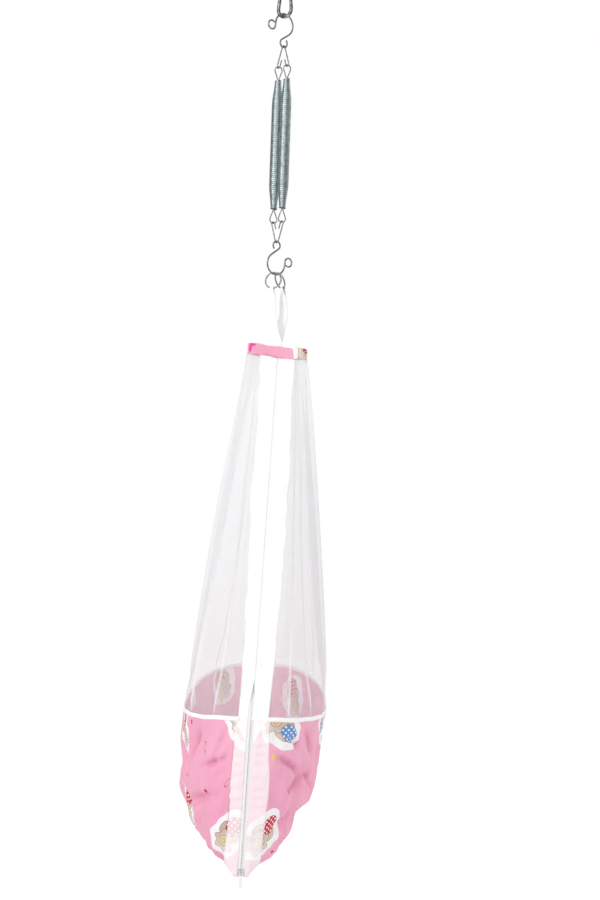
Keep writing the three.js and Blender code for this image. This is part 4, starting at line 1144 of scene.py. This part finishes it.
straight, bend = (BAND_WIDTH - BAND_DEPTH) / 2, (BAND_DEPTH - BAND_WALL) / 2
turn = np.linspace(-pi / 2, pi / 2, 40)
half = np.stack([straight + bend * np.cos(turn), bend * np.sin(turn), 0 * turn], axis=-1)
loop, length = even(np.vstack([half, -half, half[:1]]) + (DRIFT_NECK, 0, 0), BAND_RINGS + 1)
loop = np.roll(loop[:-1], -BAND_FIRST, axis=0)
distance = np.linspace(0, length, BAND_RINGS, endpoint=False)[:, None]
out = unit(np.cross(np.roll(loop, -1, axis=0) - np.roll(loop, 1, axis=0), (0, 0, 1.0)))
turn = np.linspace(-pi, pi, BAND_SIDES, endpoint=False)
rise = rounded(np.sin(turn), 0.4) * BAND_HEIGHT / 2 + 0 * distance
swell = BAND_PUCKER * np.sin(distance * 310 + 2 * np.sin(distance * 40)) * np.abs(np.sin(turn)) ** 3
lay = BAND_LAY * ripples(distance + 0 * turn, rise, 77, LAY_APART)
rings = loop[:, None] + out[:, None] * (rounded(np.cos(turn), 0.5) * BAND_WALL / 2 + swell + lay)[..., None]
rings[..., 2] += -BAND_TOP - BAND_HEIGHT / 2 + rise
rings[..., 2] += neck_tilt(rings[..., 0]) + BAND_EDGE_WAVE * np.sin(distance * 140)


def band_cut(ring, place):
    """Place on the flat band, shifted along the print so that a plain stretch of it lies in front."""
    return ring * length / BAND_RINGS - PRINT_SHIFT[0], place * BAND_GIRTH / BAND_SIDES - PRINT_SHIFT[1]


band = ringed("neck_cloth", rings, band_cut, band_print, loop=True)
for_sling(band, "neck_band")
print("neck band", round(length, 3), "m round")

# %% [markdown]
# ## Straps
# Each strap is one strip of white cotton webbing. It comes up out of the neck band, bunches up to pass through its
# steel ring, and goes down again. So it is narrow at the ring, wide at the band, and its two layers lie on each other.

# %% Find the rings
RING_APART, RING_SEAT, RING_FOOT, HOOK_CURVE, HOOK_YAW = 0.0045, -0.6319099, 0.036, 0.048, radians(39)


def ring_frame(side, yaw, lean):
    """Direction across the ring and the lowest point inside it. It hangs beside the middle of the hook's bow."""
    across = np.array((cos(yaw), sin(yaw), 0.0))
    down = np.array((-sin(yaw) * sin(lean), cos(yaw) * sin(lean), -cos(lean)))
    offset = side * RING_APART
    seat = (offset * cos(HOOK_YAW), offset * sin(HOOK_YAW), RING_SEAT + offset * offset / HOOK_CURVE)
    return across, seat + down * RING_FOOT


print("front ring's foot at", ring_frame(-1, 0, 0)[1].round(3))

# %% Make the straps
RING_WIRE_HALF, RING_ROOM, LAYER_GAP = 0.0017, 0.0012, 0.0003
STRAP_THICK, STRAP_WIDE, STRAP_BUNCHED, STRAP_ROWS, STRAP_COLUMNS = 0.0016, 0.020, 0.008, 70, 8
STRAP_SPREAD, STRAP_END, STRAP_ROOM, STRAP_SAG = 0.028, -(BAND_TOP + 0.013), 0.00045, 0.007
STRAP_PRESSED, STRAP_CROWN, STRAP_TURNED, STRAP_WANDER, LEG_START, BEND_ROWS = 0.85, 0.0008, 0.84, 0.0007, 0.002, 15


def strap(end_name, side, yaw, lean):
    yaw, lean = radians(yaw), radians(lean)
    across, foot = ring_frame(side, yaw, lean)
    turn, together = RING_WIRE_HALF + RING_ROOM + STRAP_THICK / 2, (STRAP_THICK + LAYER_GAP) / 2
    end = np.array((DRIFT_NECK, side * (BAND_DEPTH / 2 - BAND_WALL - STRAP_ROOM - STRAP_THICK), STRAP_END))

    def leg(layer, t):
        """Middle, direction across, normal and width of the strap at a share of the way down one layer."""
        settled = min(1, t / STRAP_TURNED)
        angle = yaw * (1 - settled)
        p = foot + (end - foot) * settled
        p[0] += side * STRAP_SAG * sin(pi * settled) + STRAP_WANDER * sin(t * 17 + side)
        p[2] = foot[2] + (STRAP_END - foot[2]) * t
        wide = np.array((cos(angle), sin(angle), 0.0))
        normal = layer * np.array((-wide[1], wide[0], 0.0))
        close = eased(min(1, (foot[2] - p[2]) / STRAP_SPREAD))
        width = STRAP_BUNCHED + (STRAP_WIDE - STRAP_BUNCHED) * close
        return p + normal * (turn + (together - turn) * close), wide, normal, width

    rows = [leg(-1, t) for t in np.linspace(1, LEG_START, STRAP_ROWS)]
    for a in np.linspace(0, pi, BEND_ROWS)[1:-1]:
        normal = np.array((across[1] * cos(a), -across[0] * cos(a), sin(a)))
        rows.append((foot + normal * turn, across, normal, STRAP_BUNCHED))
    rows += [leg(1, t) for t in np.linspace(LEG_START, 1, STRAP_ROWS)]
    share = np.linspace(-0.5, 0.5, STRAP_COLUMNS + 1)
    grid = np.array([[p + wide * width * s + normal * (STRAP_CROWN * (1 - width / STRAP_WIDE) * cos(s * 20))
                      for s in share] for p, wide, normal, width in rows])
    distance = walked(grid[:, STRAP_COLUMNS // 2])
    uv = np.stack(np.broadcast_arrays(share * STRAP_WIDE, distance[:, None]), axis=-1)
    piece = cloth("hanging_strap_" + end_name, grid, uv, webbing, STRAP_THICK * STRAP_PRESSED,
                  "strap_" + end_name)


strap("front", -1, -20, -12)
strap("back", 1, -60, 24)

# %% [markdown]
# ## Stitches
# Sewing shows as rows of short raised threads. The same kind of tree lays a small bar on every stitch length along a
# seam: one row on each facing, and one on each rim tape.

# %% Sew the seams
STITCH = {"Step": 0.0034, "Size": (0.0004, 0.0004, 0.0022), "Out": (0, -1, 0)}
STITCH_DROP, FACING_LIFT = 0.0022, 0.00055

stitch_tree = bead_tree("stitches", cotton("sewing_thread", (0.90, 0.88, 0.89), (0.84, 0.82, 0.83)))
for side, hand in SIDES:
    rim = rim_paths[side] + beside(rim_paths[side], side) * TAPE_HALF_THICK - (0, 0, STITCH_DROP)
    facing = (facings[side] + outward(facings[side], side) * FACING_LIFT)[2:-2, -2]
    for name, path in (("rim_stitches_", rim), ("facing_stitches_", facing)):
        seam = grown(name + hand, stitch_tree, path_mesh(path), STITCH)
        for_sling(seam)
        print(seam.name, len(seam.data.polygons), "faces")

# %% [markdown]
# ## The dressed box
# Last, the dressed box is printed. It should differ from the CAD model's box by no more than cloth may stand
# proud.

# %% Print the dressed box
low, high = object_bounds()
print("dressed box", [round(v, 3) for v in low], [round(v, 3) for v in high])
